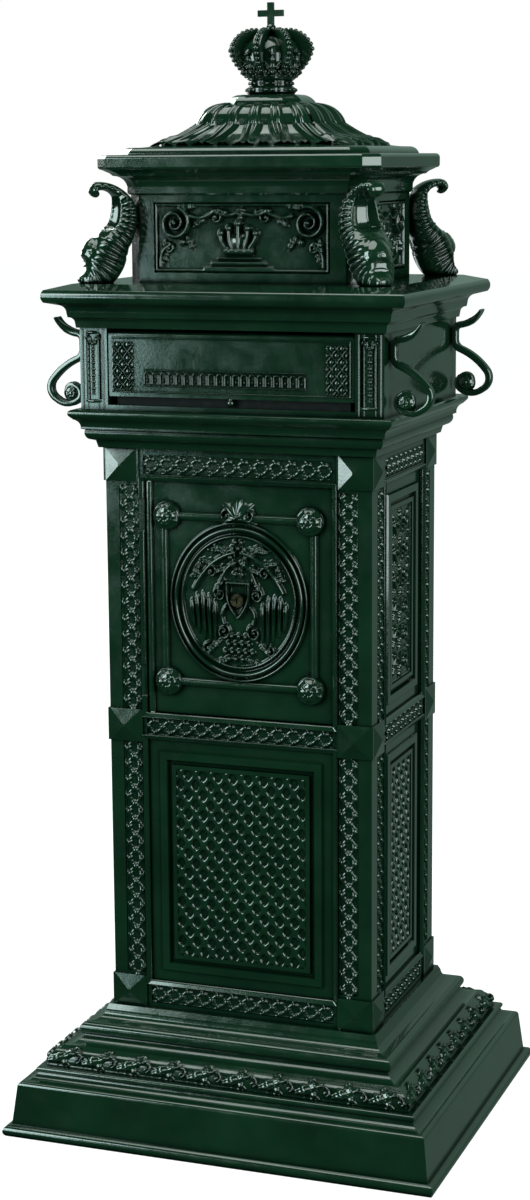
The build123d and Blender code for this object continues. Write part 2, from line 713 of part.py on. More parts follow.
# ---------------------------------------------------------------- slot box
BOX_FRONT = BOX_HALF - DEPTH_STEP
MOUTH_HALF = 146
BRACKET_Y = 122  # middle of a scroll bracket
SCREW_R = 2.5
SCREW = 14
SCREW_HEIGHT = 924
box_block = mitred_block(straight_sides(BOX_HALF, SILL_TOP, BOX_TOP))
box_cavity = mitred_block(straight_sides(BOX_HALF - WALL, SILL_TOP + WALL, BOX_TOP - WALL))
with BuildPart() as slot_box:
    add(box_block)
    add(box_cavity, mode=Mode.SUBTRACT)
    flange_opening(THROAT_HALF, SILL_TOP + WALL, WALL)
    flange_opening(THROAT_HALF, BOX_TOP, WALL)
    with BuildSketch(facing(THROAT_HALF - DEPTH_STEP)):
        with Locations((0, (SILL_TOP + WALL + BOX_TOP) / 2)):
            Rectangle(2 * MOUTH_HALF, BOX_TOP - SILL_TOP - WALL)
    extrude(amount=REACH, mode=Mode.SUBTRACT)
    with BuildSketch(facing(BOX_FRONT - WALL)):
        for side in (-1, 1):
            with Locations((side * (MOUTH_HALF + 7), BOX_TOP - 8)):
                Rectangle(14, 16)
    extrude(amount=-9)
    with BuildSketch(Plane(origin=(-REACH, *FLAP_AXIS), z_dir=(1, 0, 0))):
        Circle(PIN_RADIUS)
    extrude(amount=2 * REACH, mode=Mode.SUBTRACT)
    with BuildSketch(facing(BOX_FRONT)):
        for side in (-1, 1):
            with Locations((side * 155, 899), (side * 169, 899)):
                Rectangle(5, 74)
    extrude(amount=-2, mode=Mode.SUBTRACT)
    with BuildSketch(Plane.YZ):
        with Locations((BRACKET_Y, SCREW_HEIGHT), (-BRACKET_Y, SCREW_HEIGHT)):
            Circle(SCREW_R + BOLT_CLEAR)
    extrude(amount=REACH, both=True, mode=Mode.SUBTRACT)
    bolt_holes(BOX_BOLTS, SILL_TOP + WALL, WALL)
    bolt_holes(BOX_BOLTS, BOX_TOP, WALL)
save(slot_box.part, "slot_box")

PIN_HALF = MOUTH_HALF + 14
with BuildPart() as flap_hinge_pin:
    with BuildSketch(Plane(origin=(-PIN_HALF, *FLAP_AXIS), z_dir=(1, 0, 0))):
        Circle(PIN_RADIUS)
    extrude(amount=2 * PIN_HALF)
save(flap_hinge_pin.part, "flap_hinge_pin")

FLAP_THICK = 5
KNOB_STEM = 2.5
KNOB_R = 4.2
with BuildPart() as letter_flap:
    with BuildSketch(Plane.YZ.offset(-FLAP_HALF)):
        with Locations((FLAP_AXIS[0] - FLAP_THICK / 2, (FLAP_BOTTOM + FLAP_AXIS[1]) / 2)):
            Rectangle(FLAP_THICK, FLAP_AXIS[1] - FLAP_BOTTOM)
        with Locations(FLAP_AXIS):
            Circle(FLAP_THICK)
            Circle(PIN_RADIUS + RUNNING, mode=Mode.SUBTRACT)
    extrude(amount=2 * FLAP_HALF)
save(letter_flap.part, "letter_flap")

flap_middle = FLAP_AXIS[0] - FLAP_THICK / 2
with BuildPart() as flap_knob:
    with BuildSketch(Plane.XY.offset(FLAP_BOTTOM)):
        with Locations((0, flap_middle)):
            Circle(KNOB_STEM)
    extrude(amount=-4)
    with Locations((0, flap_middle, FLAP_BOTTOM - KNOB_R - 0.5)):
        Sphere(KNOB_R)
save(flap_knob.part, "flap_knob")

CHUTE_HALF = 138
CHUTE = 2
CHUTE_BACK = 30
chute_foot = SILL_TOP + WALL
# Side outlines, as depth and height: the bent sheet, and the cheeks at its two ends
CHUTE_SHEET = [(-134, chute_foot), (-121, chute_foot), (-121, chute_foot + CHUTE),
               (-132, chute_foot + CHUTE), (-132, chute_foot + 9.3), (CHUTE_BACK, 816),
               (CHUTE_BACK, 818), (-134, chute_foot + 12)]
CHUTE_CHEEK = [(-118, 863.4), (CHUTE_BACK, 817), (CHUTE_BACK, 832), (-118, 880)]
with BuildPart() as letter_chute:
    with BuildSketch(Plane.YZ.offset(-CHUTE_HALF)):
        with BuildLine():
            Polyline(*CHUTE_SHEET, close=True)
        make_face()
    extrude(amount=2 * CHUTE_HALF)
    for end in (-CHUTE_HALF, CHUTE_HALF - CHUTE):
        with BuildSketch(Plane.YZ.offset(end)):
            with BuildLine():
                Polyline(*CHUTE_CHEEK, close=True)
            make_face()
        extrude(amount=CHUTE)
save(letter_chute.part, "letter_chute")

# ---------------------------------------------------------------- scroll brackets
STRAP = 9
BRACKET_WIDTH = 12
# Middle line of the strap, from its tip to the eye of its volute: out from the wall, above the sill
SCROLL_ARCS = [
    ((37, 102), (25, 89), (10, 84)),
    ((10, 84), (6, 81), (4.5, 76)),
    ((4.5, 76), (4.5, 72), (4.5, 68)),
    ((4.5, 68), (6, 61), (11, 56)),
    ((11, 56), (30, 45), (42, 33)),
    ((42, 33), (46, 20), (38, 9)),
    ((38, 9), (24, 4.5), (12, 9)),
    ((12, 9), (8.5, 17), (14, 24)),
    ((14, 24), (22, 25), (25, 18)),
]
for front_rear, y in (("front", -BRACKET_Y), ("rear", BRACKET_Y)):
    for left_right, side in (("left", -1), ("right", 1)):
        name = f"{front_rear}_{left_right}_scroll"
        wall = Plane(origin=(side * BOX_HALF, y, SILL_TOP), x_dir=(side, 0, 0), z_dir=(0, -side, 0))
        with BuildPart() as scroll:
            with BuildSketch(wall) as strap:
                with BuildLine() as middle_line:
                    for start, through, end in SCROLL_ARCS:
                        if start[0] == through[0] == end[0]:
                            Line(start, end)
                        else:
                            ThreePointArc(start, through, end)
                trace(line_width=STRAP)
                with Locations((-STRAP / 2, 60)):
                    Rectangle(STRAP, 80, mode=Mode.SUBTRACT)
            extrude(amount=BRACKET_WIDTH / 2, both=True)
            hole = Plane(origin=(side * BOX_HALF, y, SCREW_HEIGHT), z_dir=(side, 0, 0))
            with BuildSketch(hole):
                Circle(SCREW_R)
            extrude(amount=SCREW - WALL, mode=Mode.SUBTRACT)
        save(scroll.part, name)

# ---------------------------------------------------------------- upper cornice
UPPER_CAVITY = [
    ("start", 176, BOX_TOP + FLANGE),
    ("line", 182, 962),
    ("line", 188, 970),
    ("line", 188, CORNICE_TOP - 10),
]
upper_block = mitred_block(UPPER)
upper_cavity = mitred_block(UPPER_CAVITY)
with BuildPart() as upper_cornice:
    add(upper_block)
    add(upper_cavity, mode=Mode.SUBTRACT)
    flange_opening(THROAT_HALF, BOX_TOP + FLANGE, FLANGE)
    bolt_holes(BOX_BOLTS, BOX_TOP + FLANGE, FLANGE)
    bolt_holes(ATTIC_BOLTS, CORNICE_TOP, 10)
save(upper_cornice.part, "upper_cornice")

# ---------------------------------------------------------------- attic box
ATTIC_OPENING = 108
RECESS = 3
FIELD_BOTTOM, FIELD_HEIGHT = 1002, 78
FIELD_WIDTH, SIDE_FIELD_WIDTH = 208, 136
FRONT_FIELD = ATTIC_HALF - DEPTH_STEP - RECESS / 2
DIAGONAL = sqrt(2)
CUT_X = ATTIC_HALF - CORNER_CUT / 2
CUT_Y = CUT_X - DEPTH_STEP
BRACKET_SCREW_HEIGHT = 1074
attic_block = mitred_block(straight_sides(ATTIC_HALF, CORNICE_TOP, ATTIC_TOP), cut=True)
attic_cavity = mitred_block(
    straight_sides(ATTIC_HALF - WALL, CORNICE_TOP + WALL, ATTIC_TOP - WALL), cut=True)
with BuildPart() as attic_box:
    add(attic_block)
    add(attic_cavity, mode=Mode.SUBTRACT)
    flange_opening(ATTIC_OPENING, CORNICE_TOP + WALL, WALL)
    flange_opening(ATTIC_OPENING, ATTIC_TOP, WALL)
    with BuildSketch(Plane.XY.offset(FIELD_BOTTOM)):
        with Locations((0, FRONT_FIELD), (0, -FRONT_FIELD)):
            Rectangle(FIELD_WIDTH, RECESS)
        with Locations((FRONT_FIELD + DEPTH_STEP, 0), (-FRONT_FIELD - DEPTH_STEP, 0)):
            Rectangle(RECESS, SIDE_FIELD_WIDTH)
    extrude(amount=FIELD_HEIGHT, mode=Mode.SUBTRACT)
    for x, y in four_ways(CUT_X, CUT_Y):
        out = (x / abs(x), y / abs(y), 0)
        with BuildSketch(Plane(origin=(x, y, BRACKET_SCREW_HEIGHT), z_dir=out)):
            Circle(SCREW_R + BOLT_CLEAR)
        extrude(amount=-20, mode=Mode.SUBTRACT)
    bolt_holes(ATTIC_BOLTS, CORNICE_TOP + WALL, WALL)
    bolt_holes(ATTIC_BOLTS, ATTIC_TOP, WALL)
save(attic_box.part, "attic_box")

# ---------------------------------------------------------------- dolphin brackets
# Side outline: out from the cut corner, above the cornice. The front runs up the head and neck and
# round the curled tail, and the back runs down from the pad on the wall.
DOLPHIN_FOOT = ((27, 0), (61, 0))
DOLPHIN_PAD = ((0, 87), (0, 75))
DOLPHIN_FRONT = [(70, 7), (60, 24), (61, 38), (47, 51), (27, 62), (24, 71), (22, 84), (28, 95),
                 (43, 94), (53, 103), (43, 112), (27, 110), (13, 102)]
DOLPHIN_BACK = [(2, 63), (7, 45), (12, 25)]
# Front outline: half width above the cornice
DOLPHIN_HALF = [(20, 0), (24, 20), (24, 50), (21, 80), (15, 100), (10, 113)]
for front_rear, toward in (("front", -1), ("rear", 1)):
    for left_right, side in (("left", -1), ("right", 1)):
        name = f"{front_rear}_{left_right}_dolphin"
        origin = (side * CUT_X, toward * CUT_Y, CORNICE_TOP)
        corner = Plane(origin=origin, x_dir=(side, toward, 0), z_dir=(toward, -side, 0))
        with BuildPart() as dolphin:
            with BuildSketch(corner):
                with BuildLine():
                    Line(*DOLPHIN_FOOT)
                    Spline(DOLPHIN_FOOT[1], *DOLPHIN_FRONT, DOLPHIN_PAD[0])
                    Line(*DOLPHIN_PAD)
                    Spline(DOLPHIN_PAD[1], *DOLPHIN_BACK, DOLPHIN_FOOT[0])
                make_face()
            extrude(amount=REACH, both=True)
            across = Plane(origin=origin, x_dir=(toward, -side, 0), z_dir=(-side, -toward, 0))
            with BuildSketch(across):
                with BuildLine():
                    Spline(*DOLPHIN_HALF)
                    Line(DOLPHIN_HALF[-1], (0, DOLPHIN_HALF[-1][1]))
                    Line((0, 0), DOLPHIN_HALF[0])
                    mirror(about=Plane.YZ)
                make_face()
            extrude(amount=REACH, both=True, mode=Mode.INTERSECT)
            place = (origin[0], origin[1], BRACKET_SCREW_HEIGHT)
            with BuildSketch(Plane(origin=place, z_dir=(side, toward, 0))):
                Circle(SCREW_R)
            extrude(amount=SCREW - WALL * DIAGONAL, mode=Mode.SUBTRACT)
        save(dolphin.part, name)

# Screws that hold the brackets, with their heads inside the castings
screw_places = []
for side in (-1, 1):
    for toward in (-1, 1):
        inside_x = side * (BOX_HALF - WALL)
        screw_places.append(((inside_x, toward * BRACKET_Y, SCREW_HEIGHT), (side, 0, 0)))
        inside_x, inside_y = side * (CUT_X - WALL), toward * (CUT_Y - WALL)
        screw_places.append(((inside_x, inside_y, BRACKET_SCREW_HEIGHT), (side, toward, 0)))
with BuildPart() as bracket_screws:
    for origin, out in screw_places:
        with BuildSketch(Plane(origin=origin, z_dir=out)):
            Circle(SCREW_R)
        extrude(amount=SCREW)
        with BuildSketch(Plane(origin=origin, z_dir=out)):
            Circle(2 * SCREW_R)
        extrude(amount=-3, taper=30)
save(bracket_screws.part, "bracket_screws")

# ---------------------------------------------------------------- cornice under the roof
ROOF_OPENING = 96
ROOF_CORNICE_CAVITY = [
    ("start", 132, ATTIC_TOP + FLANGE),
    ("line", 145, 1109),
    ("line", 154, 1118),
    ("line", 154, ROOF_CORNICE_TOP - FLANGE),
]
roof_cornice_block = mitred_block(ROOF_CORNICE, cut=True)
roof_cornice_cavity = mitred_block(ROOF_CORNICE_CAVITY, cut=True)
with BuildPart() as roof_cornice:
    add(roof_cornice_block)
    add(roof_cornice_cavity, mode=Mode.SUBTRACT)
    flange_opening(ATTIC_OPENING, ATTIC_TOP + FLANGE, FLANGE)
    flange_opening(ROOF_OPENING, ROOF_CORNICE_TOP, FLANGE)
    bolt_holes(ATTIC_BOLTS, ATTIC_TOP + FLANGE, FLANGE)
    bolt_holes(ROOF_BOLTS, ROOF_CORNICE_TOP, FLANGE)
save(roof_cornice.part, "roof_cornice")

# ---------------------------------------------------------------- roof
ROOF_CAVITY = [
    ("start", 98, ROOF_CORNICE_TOP),
    ("line", 98, 1137),
    ("line", 60, 1156),
    ("line", 36, 1178),
    ("line", 20, ROOF_TOP - FLANGE),
]
roof_block = mitred_block(ROOF, cut=True, reach=roof_side_reach, corner=roof_corner_reach)
roof_cavity = mitred_block(ROOF_CAVITY, reach=roof_side_reach)
SCREW_DEPTH = 6
FINIAL_R = 5
with BuildPart() as roof:
    add(roof_block)
    add(roof_cavity, mode=Mode.SUBTRACT)
    bolt_holes(ROOF_BOLTS, ROOF_CORNICE_TOP + SCREW_DEPTH, SCREW_DEPTH, BOLT_R)
    bolt_holes([(0, 0)], ROOF_TOP, FLANGE, FINIAL_R + BOLT_CLEAR)
save(roof.part, "roof")

with BuildPart() as roof_bolts:
    with BuildSketch(Plane.XY.offset(ROOF_CORNICE_TOP - FLANGE)):
        with Locations(*ROOF_BOLTS):
            RegularPolygon(1.7 * BOLT_R, 6)
    extrude(amount=-1.3 * BOLT_R)
    with BuildSketch(Plane.XY.offset(ROOF_CORNICE_TOP - FLANGE)):
        with Locations(*ROOF_BOLTS):
            Circle(BOLT_R)
    extrude(amount=FLANGE + SCREW_DEPTH)
save(roof_bolts.part, "roof_bolts")

# ---------------------------------------------------------------- crown finial
COLLAR_TOP = 1221
CROWN_WIDEST = (49, 1249)
CAP_TOP = 1267
ARCH_THICK = 9
CROSS_THICK = 5
finial_hole = 17
with BuildPart() as crown_finial:
    with BuildSketch(Plane.XZ):
        with BuildLine():
            Polyline((0, COLLAR_TOP), (29, COLLAR_TOP))
            ThreePointArc((29, COLLAR_TOP), (41, 1231), CROWN_WIDEST)
            ThreePointArc(CROWN_WIDEST, (36, 1265), (7, CAP_TOP))
            Line((7, CAP_TOP), (0, CAP_TOP))
            Line((0, CAP_TOP), (0, COLLAR_TOP))
        make_face()
    revolve(axis=Axis.Z)
    with BuildSketch(Plane.XY.offset(COLLAR_TOP)):
        for turn in (0, 45, 90, 135):
            Rectangle(2 * REACH, ARCH_THICK, rotation=turn)
    extrude(amount=REACH, mode=Mode.INTERSECT)
    with BuildSketch(Plane.XZ):
        with BuildLine():
            Polyline((0, ROOF_TOP), (26, ROOF_TOP), (28, 1201), (28, 1205), (24, 1208), (24, 1213),
                     (28, 1216), (29, COLLAR_TOP))
            ThreePointArc((29, COLLAR_TOP), (37, 1240), (5, 1262))
            Line((5, 1262), (0, 1262))
            Line((0, 1262), (0, ROOF_TOP))
        make_face()
        with Locations((0, 1271)):
            Circle(6)
            Rectangle(12, 12, align=(Align.MAX, Align.CENTER), mode=Mode.SUBTRACT)
    revolve(axis=Axis.Z)
    with BuildSketch(Plane.XZ):
        with Locations((0, (1272 + CROWN_TOP) / 2)):
            Rectangle(7, CROWN_TOP - 1272)
        with Locations((0, 1288)):
            Rectangle(30, 7)
    extrude(amount=CROSS_THICK / 2, both=True)
    with BuildSketch(Plane.XY.offset(ROOF_TOP)):
        Circle(FINIAL_R)
    extrude(amount=finial_hole, mode=Mode.SUBTRACT)
save(crown_finial.part, "crown_finial")

STUD_BOTTOM = 1179
with BuildPart() as finial_stud:
    with BuildSketch(Plane.XY.offset(STUD_BOTTOM)):
        Circle(FINIAL_R)
    extrude(amount=ROOF_TOP + finial_hole - STUD_BOTTOM)
save(finial_stud.part, "finial_stud")

with BuildPart() as finial_nut:
    with BuildSketch(Plane.XY.offset(ROOF_TOP - FLANGE)):
        RegularPolygon(1.7 * FINIAL_R, 6)
        Circle(FINIAL_R + RUNNING, mode=Mode.SUBTRACT)
    extrude(amount=-8)
save(finial_nut.part, "finial_nut")

# ---------------------------------------------------------------- bolts between the castings
for name, places, bottom, top in (
    ("plinth_bolts", SHAFT_BOLTS, PLINTH_TOP - FLANGE, PLINTH_TOP + FLANGE),
    ("shaft_top_bolts", SHAFT_BOLTS, SHAFT_TOP - FLANGE, SHAFT_TOP + FLANGE),
    ("neck_bolts", BOX_BOLTS, SILL_TOP - FLANGE, SILL_TOP + WALL),
    ("cornice_bolts", BOX_BOLTS, BOX_TOP - WALL, BOX_TOP + FLANGE),
    ("attic_bolts", ATTIC_BOLTS, CORNICE_TOP - 10, CORNICE_TOP + WALL),
    ("roof_cornice_bolts", ATTIC_BOLTS, ATTIC_TOP - WALL, ATTIC_TOP + FLANGE),
):
    save(bolt_sets(places, bottom, top), name)
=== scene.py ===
import json
from math import ceil, cos, hypot, pi, radians, sin, sqrt, tau

import bmesh
import bpy
import numpy as np
from mathutils import Matrix, Vector


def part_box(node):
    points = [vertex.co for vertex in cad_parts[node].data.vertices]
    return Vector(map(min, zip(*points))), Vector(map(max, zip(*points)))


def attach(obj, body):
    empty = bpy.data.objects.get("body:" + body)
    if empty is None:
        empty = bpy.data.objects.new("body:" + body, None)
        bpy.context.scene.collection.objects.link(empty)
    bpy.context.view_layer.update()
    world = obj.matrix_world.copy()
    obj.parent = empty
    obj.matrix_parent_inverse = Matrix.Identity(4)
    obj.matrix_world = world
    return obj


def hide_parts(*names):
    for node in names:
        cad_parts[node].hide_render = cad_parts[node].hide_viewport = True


# Ornamental cast pillar mailbox. The frame gives the plain castings. This script gives them
# their enamel and adds the cast ornament. Ornament is drawn in millimetres, as heights over a
# surface, and goes into the scene in metres.

MM = 0.001
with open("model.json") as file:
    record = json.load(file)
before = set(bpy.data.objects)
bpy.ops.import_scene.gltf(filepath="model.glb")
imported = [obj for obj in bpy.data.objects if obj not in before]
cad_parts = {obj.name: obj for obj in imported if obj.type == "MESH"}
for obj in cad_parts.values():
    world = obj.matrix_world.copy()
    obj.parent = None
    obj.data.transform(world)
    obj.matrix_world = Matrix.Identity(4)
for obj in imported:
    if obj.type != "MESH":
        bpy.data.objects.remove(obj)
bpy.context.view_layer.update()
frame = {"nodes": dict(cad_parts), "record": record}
nodes = frame["nodes"]


def box_mm(node):
    """A node's lowest and highest corners, in millimetres."""
    low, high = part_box(node)
    return low / MM, high / MM


# ---- materials
def new_material(name):
    material = bpy.data.materials.new(name)
    material.use_nodes = True
    tree = material.node_tree
    return material, tree, tree.nodes["Principled BSDF"]


def feed(tree, node, **inputs):
    """Link or set a node's inputs. Their names have underscores for spaces."""
    for name, value in inputs.items():
        socket = node.inputs[name.replace("_", " ")]
        if isinstance(value, bpy.types.NodeSocket):
            tree.links.new(value, socket)
        else:
            socket.default_value = value


def noise(tree, scale, detail=3.0, distortion=0.0):
    """Noise in the object's own metres."""
    where = tree.nodes.new("ShaderNodeTexCoord")
    node = tree.nodes.new("ShaderNodeTexNoise")
    feed(tree, node, Scale=scale, Detail=detail, Distortion=distortion,
         Vector=where.outputs["Object"])
    return node.outputs["Fac"]


def spread(tree, value, low, high, start=0.3, end=0.7):
    """A value's stretch from start to end, mapped to low to high."""
    node = tree.nodes.new("ShaderNodeMapRange")
    feed(tree, node, From_Min=start, From_Max=end, To_Min=low, To_Max=high, Value=value)
    return node.outputs["Result"]


def blend_colours(tree, factor, first, second):
    node = tree.nodes.new("ShaderNodeMix")
    node.data_type = "RGBA"
    first, second = ((*colour, 1) if isinstance(colour, tuple) else colour
                     for colour in (first, second))
    feed(tree, node, Factor=factor, A=first, B=second)
    return node.outputs["Result"]


def bump(tree, shader, *layers):
    """Bump a shader with (height, strength, depth in mm) layers, one over another."""
    normal = None
    for height, strength, depth in layers:
        node = tree.nodes.new("ShaderNodeBump")
        feed(tree, node, Strength=strength, Distance=depth * MM, Height=height)
        if normal is not None:
            feed(tree, node, Normal=normal)
        normal = node.outputs["Normal"]
    feed(tree, shader, Normal=normal)


def enamel_material():
    """Dark green gloss enamel, brushed over cast iron that still shows its sand texture."""
    material, tree, shader = new_material("green_enamel_paint")
    colour = blend_colours(tree, spread(tree, noise(tree, 14, 4), 0, 1),
                           (0.0026, 0.0130, 0.0062), (0.0046, 0.0215, 0.0100))
    # painted shade: in the hollows of the ornament, where shade falls, the colour goes nearly black
    # and the gloss dulls
    hollow = tree.nodes.new("ShaderNodeAmbientOcclusion")
    hollow.samples = 5
    feed(tree, hollow, Distance=0.008)
    unshaded = spread(tree, hollow.outputs["AO"], 0, 1, 0.50, 0.92)
    feed(tree, shader,
         # nearly black painted shade colour for the hollows, faded in by the occlusion mask
         Base_Color=blend_colours(tree, unshaded, (0.0003, 0.0016, 0.0011), colour),
         Specular_IOR_Level=spread(tree, unshaded, 0.05, 0.5, 0, 1),
         Coat_Weight=spread(tree, unshaded, 0.0, 0.7, 0, 1),
         Roughness=spread(tree, noise(tree, 45, 4), 0.09, 0.20),
         Coat_Roughness=0.05)
    bump(tree, shader, (noise(tree, 60, 2), 0.35, 0.35), (noise(tree, 420, 4), 0.22, 0.25))
    return material


def steel_material():
    """Bright zinc-plated steel, a little stained."""
    material, tree, shader = new_material("plated_steel")
    stain = noise(tree, 130, 5)
    colour = blend_colours(tree, spread(tree, stain, 0, 1), (0.34, 0.34, 0.33), (0.52, 0.52, 0.50))
    feed(tree, shader, Base_Color=colour, Metallic=1.0,
         Roughness=spread(tree, stain, 0.28, 0.46))
    bump(tree, shader, (noise(tree, 900, 3), 0.2, 0.1))
    return material


def brass_material():
    """Lock brass made almost black, lighter in patches where the key has rubbed it."""
    material, tree, shader = new_material("dark_lock_brass")
    age = noise(tree, 260, 5)
    colour = blend_colours(tree, spread(tree, age, 0, 1),
                           (0.012, 0.015, 0.010), (0.060, 0.050, 0.026))
    feed(tree, shader, Base_Color=colour, Metallic=1.0,
         Roughness=spread(tree, age, 0.30, 0.55))
    bump(tree, shader, (noise(tree, 1200, 3), 0.2, 0.08))
    return material


def sheet_material():
    """Near-black steel sheet, painted shade so the inside seen through the box's gaps reads dark,
    scuffed lighter by letters.
    """
    material, tree, shader = new_material("dark_shade_sheet")
    scuff = noise(tree, 60, 6, 1.5)
    # painted shade: near-black colour for the sheet inside the box
    colour = blend_colours(tree, spread(tree, scuff, 0, 1, 0.45, 0.75),
                           (0.002, 0.003, 0.003), (0.009, 0.011, 0.010))
    feed(tree, shader, Base_Color=colour, Roughness=spread(tree, scuff, 0.55, 0.72),
         Specular_IOR_Level=0.10)
    bump(tree, shader, (noise(tree, 500, 4), 0.2, 0.12))
    return material


MATERIALS = {
    "green_enamel": enamel_material(),
    "fastener_steel": steel_material(),
    "lock_brass": brass_material(),
    "inner_sheet": sheet_material(),
}
for part in frame["record"]["subparts"]:
    node = nodes[part["node"]]
    node.data.materials.clear()
    node.data.materials.append(MATERIALS[part["material_slot"]])


# ---- meshes
def shade_smooth(mesh):
    mesh.polygons.foreach_set("use_smooth", np.ones(len(mesh.polygons), dtype=bool))
    return mesh


def surface_mesh(name, points, shown):
    """Smooth mesh over a grid of points in millimetres. Cells with no shown corner are left out."""
    rows, columns = points.shape[:2]
    index = np.arange(rows * columns).reshape(rows, columns)
    cells = (index[:-1, :-1], index[:-1, 1:], index[1:, 1:], index[1:, :-1])
    quads = np.stack(cells, -1).reshape(-1, 4)
    quads = quads[shown.reshape(-1)[quads].any(axis=1)]
    used, quads = np.unique(quads, return_inverse=True)
    mesh = bpy.data.meshes.new(name)
    mesh.from_pydata((points.reshape(-1, 3)[used] * MM).tolist(), [], quads.reshape(-1, 4).tolist())
    return shade_smooth(mesh)


HIDDEN = -0.7  # ornament this far under its surface is left out


def relief_mesh(name, width, height, step, shape):
    """Cast ornament over a rectangle: shape(u, v) is its height over the surface."""
    columns = ceil(width / step) + 1
    rows = ceil(height / step) + 1
    u, v = np.meshgrid(np.linspace(-width / 2, width / 2, columns),
                       np.linspace(-height / 2, height / 2, rows))
    rise = np.maximum(shape(u, v), HIDDEN)
    return surface_mesh(name, np.stack((u, v, rise), -1), rise > HIDDEN)


def add_piece(name, mesh, body="pillar", matrix=Matrix(), slot="green_enamel"):
    piece = bpy.data.objects.new(name, mesh)
    bpy.context.scene.collection.objects.link(piece)
    if not mesh.materials:
        mesh.materials.append(MATERIALS[slot])
    piece.matrix_world = matrix
    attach(piece, body)
    return piece


def add_relief(name, width, height, step, shape, matrix, body="pillar"):
    return add_piece(name, relief_mesh(name, width, height, step, shape), body, matrix)


OUTWARD = {"front": (0, -1), "rear": (0, 1), "right": (1, 0), "left": (-1, 0)}


def stand(out, distance, height, across=0.0):
    """Stand a piece facing out: its u runs to the right as seen from outside, its v up."""
    right = Vector((-out.y, out.x, 0))
    place = (out * distance + right * across + Vector((0, 0, height))) * MM
    return Matrix((
        (right.x, 0, out.x, place.x),
        (right.y, 0, out.y, place.y),
        (0, 1, 0, place.z),
        (0, 0, 0, 1),
    ))


def face_matrix(face, distance, height, across=0.0):
    """Stand a piece on a face."""
    return stand(Vector((*OUTWARD[face], 0)), distance, height, across)


def corner_matrix(side, toward, distance, height):
    """Stand a piece on a cut corner."""
    return stand(Vector((side, toward, 0)).normalized(), distance, height)


# ---- ornament, as heights in mm
NOTHING = -5.0


def mound(distance, radius, rise):
    """Rounded section that reaches the surface at its radius."""
    return np.maximum(rise * (1 - (distance / radius) ** 2), NOTHING)


def bead(u, v, x, y, radius, rise):
    return mound(np.hypot(u - x, v - y), radius, rise)


def highest(first, *others):
    for height in others:
        first = np.maximum(first, height)
    return first


def leaf(u, v, x, y, angle, length, width, rise, bend=0.0, lobes=3):
    """Acanthus leaf from its foot at (x, y): lobed edge, hollow midrib and raised veins."""
    turn = radians(angle)
    along = ((u - x) * cos(turn) + (v - y) * sin(turn)) / length
    across = (v - y) * cos(turn) - (u - x) * sin(turn) - bend * length * along ** 2
    inside = np.clip(along, 0, 1)
    swell = np.sin(pi * inside ** 0.8) ** 0.7
    lobe = 0.78 + 0.22 * np.cos(lobes * tau * inside)
    half = width / 2 * swell * lobe + 0.3
    side = np.abs(across) / half
    veins = 0.16 * np.cos(tau * (lobes * inside - 0.55 * side))
    midrib = 0.30 * np.exp(-((across / (0.09 * width)) ** 2))
    height = rise * (1 - side ** 2) * (0.55 + 0.45 * np.sin(pi * inside)) * (1 + veins)
    height = height - rise * midrib
    return np.where((along > 0) & (along < 1), np.maximum(height, NOTHING), NOTHING)


def volute(u, v, x, y, radius, turns, way, start, thick, rise):
    """Spiral that winds in from its radius, thinning, to a bead at its eye."""
    away = np.hypot(u - x, v - y)
    around = (way * (np.arctan2(v - y, u - x) - radians(start))) % tau
    height = bead(u, v, x, y, 1.3 * thick, rise)
    for lap in range(ceil(turns)):
        wound = (around + tau * lap) / (tau * turns)
        line = radius * (1 - 0.9 * wound)
        section = mound(away - line, thick * (1.05 - 0.45 * wound), rise * (1 - 0.2 * wound))
        height = np.maximum(height, np.where(wound <= 1, section, NOTHING))
    return height


def stem(u, v, start, pull, end, thick, rise, samples=14):
    """Round ridge along the curve from start to end that pull draws towards itself."""
    t = np.linspace(0, 1, samples + 1)[:, None]
    start, pull, end = np.array(start), np.array(pull), np.array(end)
    line = (1 - t) ** 2 * start + 2 * t * (1 - t) * pull + t ** 2 * end
    nearest = np.full(u.shape, 1e6)
    for (ax, ay), (bx, by) in zip(line[:-1], line[1:]):
        dx, dy = bx - ax, by - ay
        along = np.clip(((u - ax) * dx + (v - ay) * dy) / (dx * dx + dy * dy), 0, 1)
        nearest = np.minimum(nearest, np.hypot(u - ax - along * dx, v - ay - along * dy))
    return mound(nearest, thick, rise)


def frame_ridge(u, v, half_width, half_height, thick, rise):
    """Round ridge along a rectangle."""
    outside = np.maximum(np.abs(u) - half_width, np.abs(v) - half_height)
    return mound(outside, thick, rise)


# ---- measures from the frame
front_low, front_high = box_mm("front_frame")
SHAFT_FRONT = -front_low.y  # distance of the pillar's front face from the axis
SHAFT_SIDE = box_mm("right_side_frame")[1].x
SHAFT_BOTTOM, SHAFT_TOP = front_low.z, front_high.z
BAND_DEPTH = 2  # channel in the castings that a band lies in
BAND_WIDTH = 24
BAND_OUT = 18  # from a window's edge to the middle of the upright band beside it
BAND_STEP = 0.9
RAIL_BAND = 22
FRONT_HALF = 113  # half widths of the windows between the stiles
SIDE_HALF = 73
LEVELS = ("bottom", "middle", "top")
BLOCKS = [(low.z + high.z) / 2
          for low, high in (box_mm(f"{level}_corner_blocks") for level in LEVELS)]
BLOCK_HALF = 19
LOWER_WINDOW = (176, 468)
UPPER_WINDOW = (499, 769)
WINDOWS = {"lower": LOWER_WINDOW, "upper": UPPER_WINDOW}
RAILS = [(SHAFT_BOTTOM + LOWER_WINDOW[0]) / 2, (LOWER_WINDOW[1] + UPPER_WINDOW[0]) / 2,
         (UPPER_WINDOW[1] + SHAFT_TOP) / 2]
SIDES = (("left", -1), ("right", 1))
WIDE_FACES = ("front", "rear")
CORNERS = [(front_rear, left_right, side, toward)
           for front_rear, toward in (("front", -1), ("rear", 1)) for left_right, side in SIDES]


def shaft_face(face):
    """Half the width of a face's windows, and how far out the face stands."""
    return (FRONT_HALF, SHAFT_FRONT) if face in WIDE_FACES else (SIDE_HALF, SHAFT_SIDE)


